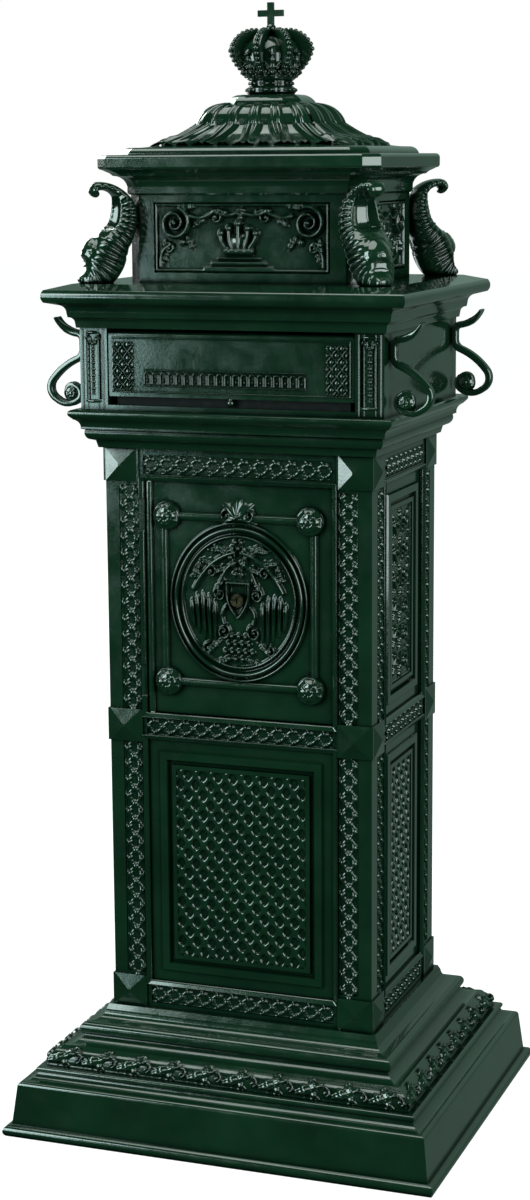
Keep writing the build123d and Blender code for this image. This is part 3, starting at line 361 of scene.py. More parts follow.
# ---- guilloche bands
def guilloche(length, width, eye=19.0):
    """Two strands that cross between beads, along u, with a thin bead along both edges."""
    count = round(length / eye)

    def shape(u, v):
        phase = pi * count * (u / length + 0.5)
        swing = 0.30 * width
        height = mound(np.abs(v) - width / 2 + 1.2, 1.2, 1.6)
        for side in (1, -1):
            slope = swing * pi * count / length * np.cos(phase)
            distance = (v - side * swing * np.sin(phase)) / np.hypot(1, slope)
            strand = mound(distance, 0.11 * width, 1.5) + 0.4 * side * np.cos(phase)
            height = np.maximum(height, strand)
        pitch = length / count
        from_crossing = (np.round(phase / pi) * pi - phase) / pi * pitch
        from_eye = ((np.round(phase / pi - 0.5) + 0.5) * pi - phase) / pi * pitch
        knot = mound(np.hypot(from_crossing / 1.15, v), 0.19 * width, 3.9)
        lean = from_eye - 0.35 * (np.abs(v) - swing)
        swell = mound(np.hypot(lean / 1.2, np.abs(v) - swing), 0.17 * width, 3.7)
        return highest(height, knot, swell)

    return shape


def add_bands(face):
    """The guilloche bands on one face of the pillar."""
    half, distance = shaft_face(face)
    distance -= BAND_DEPTH
    upright = Matrix.Rotation(pi / 2, 4, "Z")
    for side, sign in SIDES:
        for level, low, high in (("lower", *BLOCKS[:2]), ("upper", *BLOCKS[1:])):
            length = high - low - 2 * BLOCK_HALF
            place = face_matrix(face, distance, (low + high) / 2, sign * (half + BAND_OUT))
            add_relief(f"{face}_{side}_{level}_band", length, BAND_WIDTH, BAND_STEP,
                       guilloche(length, BAND_WIDTH), place @ upright)
    for level, height in zip(LEVELS, RAILS):
        add_relief(f"{face}_{level}_band", 2 * half, RAIL_BAND, BAND_STEP,
                   guilloche(2 * half, RAIL_BAND), face_matrix(face, distance, height))


BEVEL_WIDE = 5.4
NOTCH_HALF = 18
ROSETTE_SOLID = 15  # radius of the door's plain rosettes
rosette_low, rosette_high = box_mm("door_rosettes")
ROSETTE_HEIGHTS = (rosette_low.z + ROSETTE_SOLID, rosette_high.z - ROSETTE_SOLID)


def bevel(half_width, half_height, notches):
    """A slope that rises away from a window's edge, all round it but for notches on the left."""

    def shape(u, v):
        outside = np.maximum(np.abs(u) - half_width, np.abs(v) - half_height)
        cut = np.zeros(outside.shape, bool)
        for notch in notches:
            cut = cut | ((u < 0) & (np.abs(v - notch) < NOTCH_HALF))
        sloped = (outside > 0.3) & (outside < BEVEL_WIDE) & ~cut
        return np.where(sloped, 0.1 + 0.55 * outside, NOTHING)

    return shape


def add_window_bevels(face):
    """The sloped edge of both windows in a face."""
    half, distance = shaft_face(face)
    for level, (low, high) in WINDOWS.items():
        middle, tall = (low + high) / 2, (high - low) / 2
        # the open door's rosettes swing close to the hinge side of its window
        is_door = (face, level) == ("front", "upper")
        notches = [height - middle for height in ROSETTE_HEIGHTS] if is_door else []
        add_relief(f"{face}_{level}_window_bevel", 2 * (half + BEVEL_WIDE + 1),
                   2 * (tall + BEVEL_WIDE + 1), 0.75, bevel(half, tall, notches),
                   face_matrix(face, distance - 0.1, middle))


for face in OUTWARD:
    add_bands(face)
    add_window_bevels(face)


# ---- lattice panels
def lattice(across, up):
    """Wires woven on the diagonal round openings, cell by cell."""

    def shape(u, v):
        rising = pi * (u / across + v / up)
        falling = pi * (u / across - v / up)
        # both families of wires run where their own cosine is nought
        openness = np.clip(((np.cos(rising) * np.cos(falling)) ** 2 - 0.06) / 0.50, 0, 1)
        over = np.sin(rising) * np.sin(falling)
        return 2.6 - 4.2 * openness ** 2 * (3 - 2 * openness) + 0.45 * over

    return shape


FIELD_INSET = 34  # from a window's edge to the field inside its moulding
FIELD_LEVEL = 4.5 - 10  # the field's level, from the casting's face
LATTICE_ROWS = 9.5
LATTICE_COLUMNS = {"front": 8.5, "rear": 8.5, "right": 4, "left": 4}


def add_field(face, kind, window, pattern):
    """Ornament over a window's field: pattern(width, height) is its shape."""
    half, distance = shaft_face(face)
    low, high = window
    width, height = 2 * (half - FIELD_INSET), high - low - 2 * FIELD_INSET
    place = face_matrix(face, distance + FIELD_LEVEL, (low + high) / 2)
    add_relief(f"{face}_{kind}", width, height, 0.8, pattern(width, height), place)


for face, columns in LATTICE_COLUMNS.items():
    add_field(face, "lattice", LOWER_WINDOW,
              lambda width, height: lattice(width / columns, height / LATTICE_ROWS))


# ---- ornament on the fixed panels
def arabesque(u, v, half_height):
    """Upright scrollwork, alike on both sides of the middle and above and below it."""
    x, y = np.abs(u), np.abs(v)
    height = highest(mound(x, 1.7, 2.6), bead(x, y, 0, 0, 6.5, 4.2), bead(x, y, 0, 0, 3.0, 5.6))
    tiers = round(half_height / 31)
    pitch = half_height / tiers
    for tier in range(tiers):
        low = tier * pitch
        height = highest(
            height,
            volute(x, y, 16, low + 0.62 * pitch, 9.5, 1.5, 1, 200, 1.9, 3.2),
            stem(x, y, (0, low + 4), (20, low + 2), (25, low + 0.55 * pitch), 1.8, 3.0),
            leaf(x, y, 22, low + 0.55 * pitch, 62, 17, 9, 3.0, 0.010),
            leaf(x, y, 8, low + 0.30 * pitch, -25, 20, 8, 2.6, -0.012),
            leaf(x, y, 1, low + 0.72 * pitch, 78, 15, 10, 3.2),
            bead(x, y, 30, low + 0.16 * pitch, 3.0, 2.6),
        )
    return height


TWICE_OVER = 100  # a wider field has the scrollwork twice, side by side


def panel_scrollwork(width, height):
    """Bead round the field, with scrollwork in it, once or twice across."""

    def shape(u, v):
        edge = frame_ridge(u, v, width / 2 - 1.2, height / 2 - 1.2, 1.2, 2.0)
        tall = height / 2 - 6
        if width > TWICE_OVER:
            inner = highest(arabesque(np.abs(u) - width / 4, v, tall), mound(np.abs(u), 1.3, 2.0))
        else:
            inner = arabesque(u, v, tall)
        return np.maximum(edge, inner)

    return shape


for face in ("rear", "left", "right"):
    add_field(face, "scrollwork", UPPER_WINDOW, panel_scrollwork)


# ---- door
lock_low, lock_high = box_mm("lock_plug")
LOCK_HEIGHT = (lock_low.z + lock_high.z) / 2
DOOR_FRONT = 117  # distance of the door's face from the axis
oval_low, oval_high = box_mm("door_medallion")
MEDALLION_HALF = oval_high.x  # half width and half height of the oval
MEDALLION_UP = (oval_high.z - oval_low.z) / 2 + 2.5
MEDALLION_HEIGHT = (oval_high.z + oval_low.z) / 2
MEDALLION_TALL = 236  # room for the oval and the palmette over it
DRAWN_R = 81.3  # radius of the circle that the medallion is drawn in
RING_R = 74  # inside of its rings in that drawing
# each plume's place, top and drop, and each row of berries' height and places
PLUMES = ((28, 2, 46), (35, 8, 52), (42, 10, 50), (49, 8, 42), (55, 2, 30))
BERRIES = ((-34, (0, 8)), (-42, (4, 12)), (-50, (0, 8, 16)), (-57, (4, 12)),
           (54, (0, 7)), (60, (3.5,)), (28, (4.5,)))


def shield_distance(u, v):
    """Distance outside a shield's outline, negative inside it."""
    taper = 12.5 - 0.016 * np.clip(8 - v, 0, 60) ** 2
    return np.maximum(np.abs(u) - taper, v - 19)


def medallion(u, v):
    """Two rings round drooping leaves, scrolls and berries, with a shield round the lock."""
    lock_u, lock_v = u, v + MEDALLION_HEIGHT - LOCK_HEIGHT
    u, v = u * DRAWN_R / MEDALLION_HALF, v * DRAWN_R / MEDALLION_UP
    x = np.abs(u)
    away = np.hypot(u, v)
    base = np.where(away < RING_R, 0.4 + 0.9 * np.cos(away / RING_R * pi / 2), NOTHING)
    rings = highest(mound(away - 73.2, 3.4, 6.0), mound(away - 79.0, 2.3, 4.6),
                    mound(away - 66.0, 2.2, 4.6))
    plumes = NOTHING
    for step, (place, top, drop) in enumerate(PLUMES):
        plumes = highest(plumes, leaf(x, v, place, top, -91 - step, drop, 8.5, 5.0, 0.0004 * step,
                                      lobes=1))
    sprays = highest(
        stem(x, v, (4, 50), (34, 44), (52, 12), 3.0, 5.6),
        stem(x, v, (3, 40), (20, 34), (24, 6), 2.4, 4.8),
        leaf(x, v, 8, 46, 28, 26, 11, 5.2, 0.010),
        leaf(x, v, 24, 38, 8, 24, 10, 5.0, -0.012),
        leaf(x, v, 10, 36, -20, 22, 10, 5.4, -0.012),
        leaf(x, v, 36, 28, -12, 22, 9, 4.6, -0.014),
        leaf(x, v, 16, 24, -50, 20, 9, 4.8, 0.010),
        leaf(x, v, 2, 30, 66, 24, 10, 5.8, 0.006),
        leaf(x, v, 12, 54, -6, 26, 11, 4.8, -0.010),
        leaf(x, v, 50, 22, 105, 18, 10, 4.6, 0.010),
        volute(x, v, 31, 30, 6.5, 1.4, 1, 40, 2.1, 5.4),
        volute(x, v, 9, 48, 5.5, 1.3, -1, 200, 1.9, 5.2),
    )
    scrolls = highest(
        volute(x, v, 21, 8, 7.5, 1.4, -1, 60, 2.0, 5.0),
        volute(x, v, 18, -30, 8.0, 1.5, 1, 120, 2.2, 5.0),
        volute(x, v, 36, -48, 6.0, 1.3, -1, 90, 1.8, 4.2),
        stem(x, v, (17, -22), (22, -12), (14, -4), 2.2, 4.6),
    )
    berries = NOTHING
    for row, (y, places) in enumerate(BERRIES):
        for place in places:
            berries = highest(berries, bead(x, v, place, y, 3.6, 5.4 - 0.2 * row))
    tips = highest(leaf(x, v, 20, -38, -40, 26, 9, 4.4, 0.012),
                   leaf(x, v, 6, -56, -15, 24, 8, 4.0, 0.012))
    inner = np.where(away < 65, 1.25 * highest(plumes, sprays, scrolls, berries, tips), NOTHING)
    outside = shield_distance(lock_u, lock_v)
    inner = np.where(outside < 3.2, 1.0, inner)
    rim = highest(mound(outside - 0.6, 2.8, 8.0), mound(outside + 3.2, 1.0, 3.0))
    # the palmette that hooks the ring to the bar above it
    top_y = v - 94
    fan = np.arctan2(u, top_y + 10)
    reach = np.hypot(u, top_y + 10)
    palmette = mound(reach / (21 + 2.0 * np.cos(7 * fan)) * 12, 12, 8.5)
    palmette = palmette - 1.3 * np.abs(np.sin(3.5 * fan))
    palmette = np.where((np.abs(fan) < 1.9) & (reach > 1), palmette, NOTHING)
    curls = highest(volute(x, v, 12.5, 86, 6.5, 1.3, -1, 90, 2.0, 7.6), bead(x, v, 0, 86, 4.6, 9.5))
    return highest(base, rings, inner, rim, palmette, curls)


medallion_piece = add_relief("door_medallion_relief", 2 * MEDALLION_HALF + 3,
                             MEDALLION_TALL, 0.7, medallion,
                             face_matrix("front", DOOR_FRONT, MEDALLION_HEIGHT), "door")
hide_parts("door_medallion")


def rosette(u, v, radius, rise, petals):
    """Domed flower, with a button in two rings of petals."""
    away = np.hypot(u, v) / radius
    around = np.arctan2(v, u)
    dome = rise * np.sqrt(np.maximum(1 - away ** 2, 0))
    fall = np.clip(away, 0, 1)
    cut = 0.0
    for ring in (0, 1):
        turn = pi * ring
        middle = 0.42 + 0.36 * ring
        near = np.exp(-(((away - middle) / 0.20) ** 2))
        cut = cut + 0.16 * rise * near * np.abs(np.sin((petals * around + turn) / 2)) ** 0.5
        cut = cut - 0.09 * rise * np.exp(-(((away - middle - 0.16) / 0.06) ** 2))
    height = dome - cut * fall - 0.10 * rise * np.exp(-(((away - 0.26) / 0.05) ** 2))
    return np.where(away < 1.0, height, NOTHING)


ROSETTE_R = 16.2
ROSETTE_X = rosette_high.x - ROSETTE_SOLID
for row, height in zip(WINDOWS, ROSETTE_HEIGHTS):
    for side, sign in SIDES:
        place = face_matrix("front", DOOR_FRONT + 2.6, height, sign * ROSETTE_X)
        add_relief(f"door_{row}_{side}_rosette", 2 * ROSETTE_R, 2 * ROSETTE_R, 0.5,
                   lambda u, v: rosette(u, v, ROSETTE_R, 10.5, 8), place, "door")


# ---- letter flap and slot box
flap_low, flap_high = box_mm("letter_flap")
FLAP_FRONT = -flap_low.y
FLAP_MIDDLE = (flap_low.z + flap_high.z) / 2


def flap_ornament(u, v):
    """Pierced-looking trellis at both ends, an arcade along the foot and a bead round the edge."""
    border = frame_ridge(u, v, 140, 30, 1.2, 1.6)
    x = np.abs(u + 1) - 126
    inside = (np.abs(x) < 12) & (np.abs(v + 1) < 27)
    first = np.cos(pi * (x / 12 + v / 15))
    second = np.cos(pi * (x / 12 - v / 15))
    trellis = highest(2.4 * (1 - (first / 0.46) ** 2), 2.4 * (1 - (second / 0.46) ** 2),
                      3.6 - 6 * (first ** 2 + second ** 2),
                      2.8 - 9 * ((np.abs(first) - 1) ** 2 + (np.abs(second) - 1) ** 2))
    trellis = np.where(inside, trellis, NOTHING)
    pitch = 9.6
    along = (u + 6.5) / pitch
    cell = (along - np.floor(along) - 0.5) * pitch
    rise = v + 20
    arch = np.hypot(cell, np.maximum(rise - 8, 0)) - 3.6
    arcade = highest(mound(arch, 1.3, 2.8), mound(np.hypot(cell, (rise - 3) / 2.2), 1.3, 2.4))
    arcade = np.where((rise > -1.5) & (rise < 13), arcade, NOTHING)
    rails = highest(mound(rise + 3.0, 1.1, 2.0), mound(rise - 14.6, 1.1, 2.0))
    strip = (np.abs(along) < 10) & (np.abs(rise - 5.8) < 10.6)
    return highest(border, trellis, np.where(strip, highest(arcade, rails), NOTHING))


add_relief("flap_ornament", 286, 64, 0.6, flap_ornament,
           face_matrix("front", FLAP_FRONT, FLAP_MIDDLE - 1), "flap")

box_low, box_high = box_mm("slot_box")
BOX_FRONT, BOX_SIDE = -box_low.y, box_high.x


def post_ornament(u, v):
    """Fillets beside a string of beads under a small capital."""
    fillets = highest(mound(np.abs(u) - 12.4, 1.2, 1.8), mound(np.abs(u) - 6.6, 0.9, 1.2))
    step = 7.2
    between = v - (np.floor(v / step) + 0.5) * step
    beads = highest(bead(u, v - np.round(v / step) * step, 0, 0, 2.7, 2.4),
                    mound(np.hypot(u, between * 2.4), 2.6, 1.5))
    beads = np.where(np.abs(v) < 29, beads, NOTHING)
    x = np.abs(u)
    capital = highest(leaf(x, v, 0, 26, 60, 12, 7, 3.0),
                      volute(x, v, 5, 34, 3.6, 1.1, 1, 0, 1.3, 2.6),
                      mound(np.hypot(u / 4.5, v - 41), 2.0, 2.4))
    foot = mound(np.hypot(u / 4.5, v + 36), 2.2, 2.2)
    return highest(fillets, beads, capital, foot)


POST_X = 163
for face in WIDE_FACES:
    for side, sign in SIDES:
        place = face_matrix(face, BOX_FRONT, (box_low.z + box_high.z) / 2, sign * POST_X)
        add_relief(f"{face}_{side}_post_ornament", 29, 88, 0.5, post_ornament, place)


# ---- attic relief
def swag(u, v, start, end, sag, thick, rise):
    pull = ((start[0] + end[0]) / 2, (start[1] + end[1]) / 2 - sag)
    return stem(u, v, start, pull, end, thick, rise)


PLAQUE = ((44, -37, -31), (35, -31, -25), (27, -25, -20))  # each step's half width and levels
CORONET_POINTS = ((0, 17), (8.5, 13), (15.5, 9))  # place and height
CORONET_GROWN = 1.32  # how much larger the coronet is than its own numbers


def attic_front(u, v):
    """Rose scrolls joined by a ribbon over a small coronet on a stepped plaque."""
    height = frame_ridge(u, v, 101, 36, 2.2, 3.6)
    for sign in (-1, 1):
        x = sign * u
        height = highest(
            height,
            volute(x, v, 79, 16, 18.5, 2.0, -sign, 110, 3.2, 7.5),
            leaf(x, v, 77, 33, 175, 28, 12, 6.0, 0.012),
            leaf(x, v, 65, 2, -120, 20, 11, 6.0, -0.012),
            leaf(x, v, 91, 0, -80, 22, 10, 5.6, 0.014),
            swag(x, v, (4, 27), (33, 30), 7, 3.0, 6.2),
            swag(x, v, (30, 30), (60, 24), 9, 3.2, 6.2),
            leaf(x, v, 12, 24, 20, 22, 11, 5.8, 0.012),
            leaf(x, v, 40, 24, -35, 22, 11, 5.8, -0.012),
            volute(x, v, 29, 22, 7.5, 1.4, 1, 30, 2.3, 6.0),
            stem(x, v, (96, -32), (98, -14), (84, -8), 2.6, 5.2),
            volute(x, v, 86, -12, 6.6, 1.3, 1, 40, 2.3, 5.2),
            leaf(x, v, 94, -30, 112, 18, 9, 5.0),
            bead(x, v, 70, -5, 5.4, 6.0),
        )
    height = highest(height, leaf(u, v, 0, 20, 90, 16, 14, 6.0), bead(u, v, 0, 22, 5, 7.0))
    x, y = np.abs(u + 3), v
    for level, (half, low, high) in enumerate(PLAQUE):
        box = np.maximum(x - half + 0.35 * (y - low), np.maximum(low - y, y - high))
        height = highest(height, np.minimum(3.6 + 1.0 * level, 0.8 - 1.8 * box))
    x, y = x / CORONET_GROWN, (v + 20) / CORONET_GROWN - 19
    band = np.where(x < 13, mound(y + 15, 4.0, 7.0), NOTHING)
    points = NOTHING
    for place, tall in CORONET_POINTS:
        tip = (place, -12 + tall)
        points = highest(points, stem(x, y, (0.66 * place, -12), (place, -6), tip, 2.8, 6.4),
                         bead(x, y, place, -9 + tall, 4.2, 7.6))
    jewels = highest(bead(x, y, 0, -15, 2.8, 8.0), bead(x, y, 7, -15, 2.4, 7.8))
    cap = mound(np.hypot(x / 1.5, (y + 7)), 7.5, 4.6)
    return highest(height, band, points, jewels, cap)


def attic_side(u, v):
    """Rose scrolls on both sides of a palmette."""
    x = np.abs(u)
    height = frame_ridge(u, v, 65, 36, 2.2, 3.6)
    return highest(
        height,
        volute(x, v, 44, 14, 16, 2.0, 1, 70, 3.0, 7.0),
        leaf(x, v, 42, 30, 172, 24, 11, 5.8, 0.012),
        leaf(x, v, 30, 0, -115, 24, 11, 5.8, -0.012),
        leaf(x, v, 50, -2, -70, 24, 11, 5.4, 0.014),
        swag(x, v, (2, 24), (28, 24), 10, 2.8, 6.0),
        stem(x, v, (0, -30), (34, -30), (32, -12), 2.6, 5.4),
        leaf(x, v, 0, -22, 78, 36, 14, 6.6, 0.004),
        leaf(x, v, 2, -18, 48, 26, 11, 6.2, 0.010),
        leaf(x, v, 3, -24, 18, 24, 10, 5.6, 0.012),
        bead(x, v, 0, -24, 6, 7.4),
    )


attic_low, attic_high = box_mm("attic_box")
ATTIC_RECESS = 3
ATTIC_MIDDLE = 1041
for face in OUTWARD:
    if face in WIDE_FACES:
        width, shape, out = 208, attic_front, attic_high.y
    else:
        width, shape, out = 136, attic_side, attic_high.x
    add_relief(f"{face}_attic_relief", width, 78, 0.7, shape,
               face_matrix(face, out - ATTIC_RECESS, ATTIC_MIDDLE))


# ---- ornament swept along mouldings
def arc_path(start, end, bulge, samples):
    """Points (half width, height) along a moulding's arc that rises bulge chords outwards."""
    start, end = np.array(start, float), np.array(end, float)
    t = np.linspace(0, 1, samples + 1)[:, None]
    along = end - start
    outward = np.array([abs(along[1]), abs(along[0])])
    return start + t * along + 4 * t * (1 - t) * bulge * outward


def run_along(points):
    """Each point's distance along the line through them."""
    return np.concatenate(([0], np.cumsum(np.hypot(*np.diff(points, axis=0).T))))


def swept_mesh(name, path, along, out, shape, step, shift=0.0):
    """Ornament on a moulding: shape(s, t, length) is its height, s along the face, t along the
    moulding's profile. along and out give a level's half length and its distance from the axis,
    and shift moves each level along the face."""
    halves, heights = path[:, 0], path[:, 1]
    lengths, distances = along(halves), out(halves)
    slope_out, slope_up = np.gradient(distances), np.gradient(heights)
    size = np.hypot(slope_out, slope_up)
    normal_out, normal_up = np.abs(slope_up) / size, np.abs(slope_out) / size
    travelled = run_along(np.stack((distances, heights), -1))
    columns = ceil(2 * lengths.max() / step) + 1
    s = np.linspace(-1, 1, columns)[None, :] * lengths[:, None]
    t = travelled[:, None] * np.ones((1, columns))
    rise = np.maximum(shape(s, t, lengths[:, None]), HIDDEN)
    points = np.stack((s + np.broadcast_to(shift, len(path))[:, None],
                       heights[:, None] + rise * normal_up[:, None],
                       distances[:, None] + rise * normal_out[:, None]), -1)
    return surface_mesh(name, points, rise > HIDDEN)


def as_is(half):
    return half


DEPTH_STEP = 36  # how much less the half depth is than the half width


def less_depth(half):
    return half - DEPTH_STEP


def roof_depth(half):
    """Half depth of the roof, which draws in to a square under the crown."""
    return 10.5 + 0.673 * half


LEAF_PITCH = 44


def leaf_band(s, t, length):
    """A running branch: every leaf starts under the tip of the one before it."""
    count = round(2 * length.mean() / LEAF_PITCH)
    pitch = 2 * length / count
    place = s - (np.floor(s / pitch) + 0.5) * pitch
    height = mound(t - 0.8, 1.4, 1.6)
    for shift in (-1, 0, 1):
        x = place - shift * pitch
        height = highest(
            height,
            leaf(x, t, -24, 6, 20, 40, 15, 5.6, -0.006),
            leaf(x, t, -12, 14, -34, 22, 10, 4.6, 0.012),
            leaf(x, t, -6, 16, 42, 17, 9, 4.0, -0.010),
            volute(x, t, 15, 10, 5.6, 1.2, -1, 120, 1.9, 5.0),
        )
    return height


PLINTH_LEAF_PATH = arc_path((221, 80), (209, 99), 0.18, 22)
ROOF_TOP_PATH = arc_path((46, 1187), (70, 1164), 0.18, 26)
ROOF_FALL = arc_path((70, 1164), (133, 1140), -0.08, 46)
ROOF_LEAF_PATH = np.concatenate((ROOF_TOP_PATH, ROOF_FALL[1:-8]))
ROOF_RUN = 92.0  # length of the roof's slope under the leaves


def roof_leaf(across, run, half_width):
    """Acanthus leaf that falls down the roof: a swelling tongue with a hollow rib."""
    a = np.clip(run, 0, 1)
    lobe = 0.90 + 0.10 * np.cos(tau * (2.5 * a + 0.1))
    half = half_width * np.sin(pi * (0.20 + 0.76 * a)) ** 0.55 * lobe + 0.2
    side = np.abs(across) / half
    lift = 2.7 + 2.6 * np.sin(pi * a) ** 2 + 2.4 * np.exp(-(((a - 0.86) / 0.08) ** 2))
    flutes = 0.10 * np.cos(tau * (1.6 * side + 0.7 * a))
    height = lift * (1 - side ** 2.4) * (1 + flutes)
    height = height - 0.50 * lift * np.exp(-((side / 0.16) ** 2)) * (1 - 0.6 * a)
    return np.where((run > 0) & (run < 1), np.maximum(height, NOTHING), NOTHING)


def roof_leaves(count):
    """A row of leaves down a side of the roof, with a short one between each two."""

    def shape(s, t, length):
        height = NOTHING
        run = t / ROOF_RUN
        for index in range(count):
            middle = (2 * index + 1 - count) / count
            height = highest(height, roof_leaf(s - middle * length, run, 0.80 * length / count))
            if index:
                across = s - (middle - 1 / count) * length
                short = roof_leaf(across, (run - 0.58) / 0.40, 0.42 * length / count)
                height = highest(height, short - 0.4)
        return height

    return shape


for face in OUTWARD:
    wide = face in WIDE_FACES
    along, out = (as_is, less_depth) if wide else (less_depth, as_is)
    name = f"{face}_plinth_leaves"
    mesh = swept_mesh(name, PLINTH_LEAF_PATH, along, out, leaf_band, 0.9)
    add_piece(name, mesh, matrix=face_matrix(face, 0, 0))
    along, out = (as_is, roof_depth) if wide else (roof_depth, as_is)
    name = f"{face}_roof_leaves"
    mesh = swept_mesh(name, ROOF_LEAF_PATH, along, out, roof_leaves(5 if wide else 3), 0.9)
    add_piece(name, mesh, matrix=face_matrix(face, 0, 0))


CORNER_CUT = 16


def corner_width(half):
    return np.full_like(half, CORNER_CUT)


def roof_corner(half):
    """Distance of the roof's cut corner from the axis, along its own diagonal."""
    return (half + roof_depth(half) - CORNER_CUT) / sqrt(2)


def corner_leaf(s, t, length):
    return roof_leaf(s, t / ROOF_RUN / 1.02, 15.0) + 0.6


for front_rear, left_right, side, toward in CORNERS:
    name = f"{front_rear}_{left_right}_roof_leaf"
    halves = ROOF_LEAF_PATH[:, 0]
    shift = side * toward * (roof_depth(halves) - halves) / sqrt(2)
    mesh = swept_mesh(name, ROOF_LEAF_PATH, corner_width, roof_corner, corner_leaf, 0.8, shift)
    add_piece(name, mesh, matrix=corner_matrix(side, toward, 0, 0))


# ---- swept and lofted pieces
def tube_mesh(name, rings):
    """Closed smooth mesh through rings of points in millimetres."""
    count, around = rings.shape[:2]
    mesh = bpy.data.meshes.new(name)
    index = np.arange(count * around).reshape(count, around)
    after = np.roll(index, -1, axis=1)
    quads = np.stack((index[:-1], after[:-1], after[1:], index[1:]), -1).reshape(-1, 4).tolist()
    caps = [index[0].tolist(), index[-1][::-1].tolist()]
    mesh.from_pydata((rings.reshape(-1, 3) * MM).tolist(), [], quads + caps)
    work = bmesh.new()
    work.from_mesh(mesh)
    bmesh.ops.recalc_face_normals(work, faces=work.faces)
    work.to_mesh(mesh)
    work.free()
    return shade_smooth(mesh)


def joined(name, parts):
    """One mesh out of (mesh, matrix) pairs."""
    work = bmesh.new()
    for mesh, matrix in parts:
        start = len(work.verts)
        work.from_mesh(mesh)
        work.verts.ensure_lookup_table()
        bmesh.ops.transform(work, matrix=matrix, verts=work.verts[start:])
    whole = bpy.data.meshes.new(name)
    work.to_mesh(whole)
    work.free()
    for mesh in dict.fromkeys(mesh for mesh, matrix in parts):
        bpy.data.meshes.remove(mesh)
    return whole


def arc_through(start, through, end, samples):
    """Points on the circle from start to end that passes through a third point."""
    a, b, c = (complex(*point) for point in (start, through, end))
    turn = (b - a) * (c - a).conjugate()
    t = np.linspace(0, 1, samples + 1)
    if abs(turn.imag) < 1e-6:  # the three lie on a straight line
        line = a + t * (c - a)
    else:
        w = (c - a) / (b - a)
        centre = (b - a) * (w - abs(w) ** 2) / (2j * w.imag) + a
        first, last = np.angle(a - centre), np.angle(c - centre)
        way = np.sign(((b - a).conjugate() * (c - b)).imag)
        sweep = (way * (last - first)) % tau
        line = centre + abs(a - centre) * np.exp(1j * (first + way * sweep * t))
    return np.stack((line.real, line.imag), -1)


# the scroll bracket's strap, out from the slot box and above its foot: each arc's start, a point
# on it, and its end
SCROLL_ARCS = [
    ((37, 102), (25, 89), (10, 84)),
    ((10, 84), (6, 81), (4.5, 76)),
    ((4.5, 76), (4.5, 72), (4.5, 68)),
    ((4.5, 68), (6, 61), (11, 56)),
    ((11, 56), (30, 45), (42, 33)),
    ((42, 33), (46, 20), (38, 9)),
    ((38, 9), (24, 4.5), (12, 9)),
    ((12, 9), (8.5, 17), (14, 24)),
    ((14, 24), (22, 25), (25, 18)),
]


def even_line(points, step):
    """The same line with its points a step apart."""
    travelled = run_along(points)
    places = np.linspace(0, travelled[-1], ceil(travelled[-1] / step) + 1)
    return np.stack([np.interp(places, travelled, points[:, axis]) for axis in (0, 1)], -1)


def directions(line):
    """The unit direction of a line at each of its points."""
    tangent = np.gradient(line, axis=0)
    return tangent / np.hypot(*tangent.T)[:, None]


def scroll_rings():
    """Strap with a hollow along its outside and a broader tip, as rings of points."""
    arcs = [arc_through(*arc, 14)[:-1] for arc in SCROLL_ARCS]
    line = even_line(np.concatenate(arcs + [[SCROLL_ARCS[-1][2]]]), 1.2)
    tangent = directions(line)
    share = np.linspace(0, 1, len(line))
    thick = 4.4 * np.clip(0.35 + 7 * share, 0, 1) * np.clip(1.15 - 0.30 * share, 0, 1)
    wide = 6.0 + 3.5 * np.exp(-((share / 0.06) ** 2)) - 1.2 * np.clip(share - 0.75, 0, 1) / 0.25
    angle = np.linspace(0, tau, 32, endpoint=False)
    out = np.sign(np.cos(angle)) * np.abs(np.cos(angle)) ** 0.6
    cross = np.sign(np.sin(angle)) * np.abs(np.sin(angle)) ** 0.6
    hollow = 1 - 0.32 * np.exp(-((cross / 0.42) ** 2))
    radial = thick[:, None] * (out * hollow)[None, :]
    return np.stack((line[:, :1] - radial * tangent[:, 1:], line[:, 1:] + radial * tangent[:, :1],
                     wide[:, None] * cross[None, :]), -1)


EYE = (18.5, 16.5)  # middle of the strap's volute


def scroll_piece(name, side, middle_y):
    """Scroll bracket: its strap, with a rosette on both sides of its volute."""
    rings = scroll_rings()
    world = np.stack((side * (BOX_SIDE + rings[..., 0]), middle_y + rings[..., 2],
                      box_low.z + rings[..., 1]), -1)
    strap = tube_mesh(name, world)
    flower = relief_mesh("flower", 22, 22, 0.5, lambda u, v: rosette(u, v, 11, 7.5, 7))
    place_x = side * (BOX_SIDE + EYE[0])
    parts = [(strap, Matrix())]
    for face, sign in (("front", -1), ("rear", 1)):
        # the front looks to -y and the rear to +y, so across runs opposite ways
        matrix = face_matrix(face, sign * middle_y + 0.8, box_low.z + EYE[1], -sign * place_x)
        parts.append((flower, matrix))
    return joined(name, parts)


BRACKET_Y = 122
for front_rear, left_right, side, toward in CORNERS:
    name = f"{front_rear}_{left_right}_scroll_bracket"
    piece = add_piece(name, scroll_piece(name, side, toward * BRACKET_Y))
    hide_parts(f"{front_rear}_{left_right}_scroll")


# Dolphin: rings from the tail's curl to the snout. Each is the ring's middle, out from the cut
# corner and above the cornice, then half its depth and half its width.
DOLPHIN_RINGS = [
    (44, 100, 2.5, 4), (47, 99, 4.5, 8), (49.5, 102.5, 5, 10),
    (46.5, 106.5, 5, 11.5), (38, 107, 4.6, 12.5), (28, 104, 5, 14),
    (19, 97.5, 6, 17), (13.5, 88, 9, 20.5), (12, 77, 11.2, 23),
    (14, 65, 12, 24.5), (19, 54, 14.5, 24.5), (28, 43, 19.5, 24),
    (34.5, 33, 23, 23.5), (39, 23, 23, 22.5), (45, 13.5, 21, 21),
    (53, 7, 15, 18), (61, 4.5, 8.5, 13), (68, 4, 3.5, 6),
]


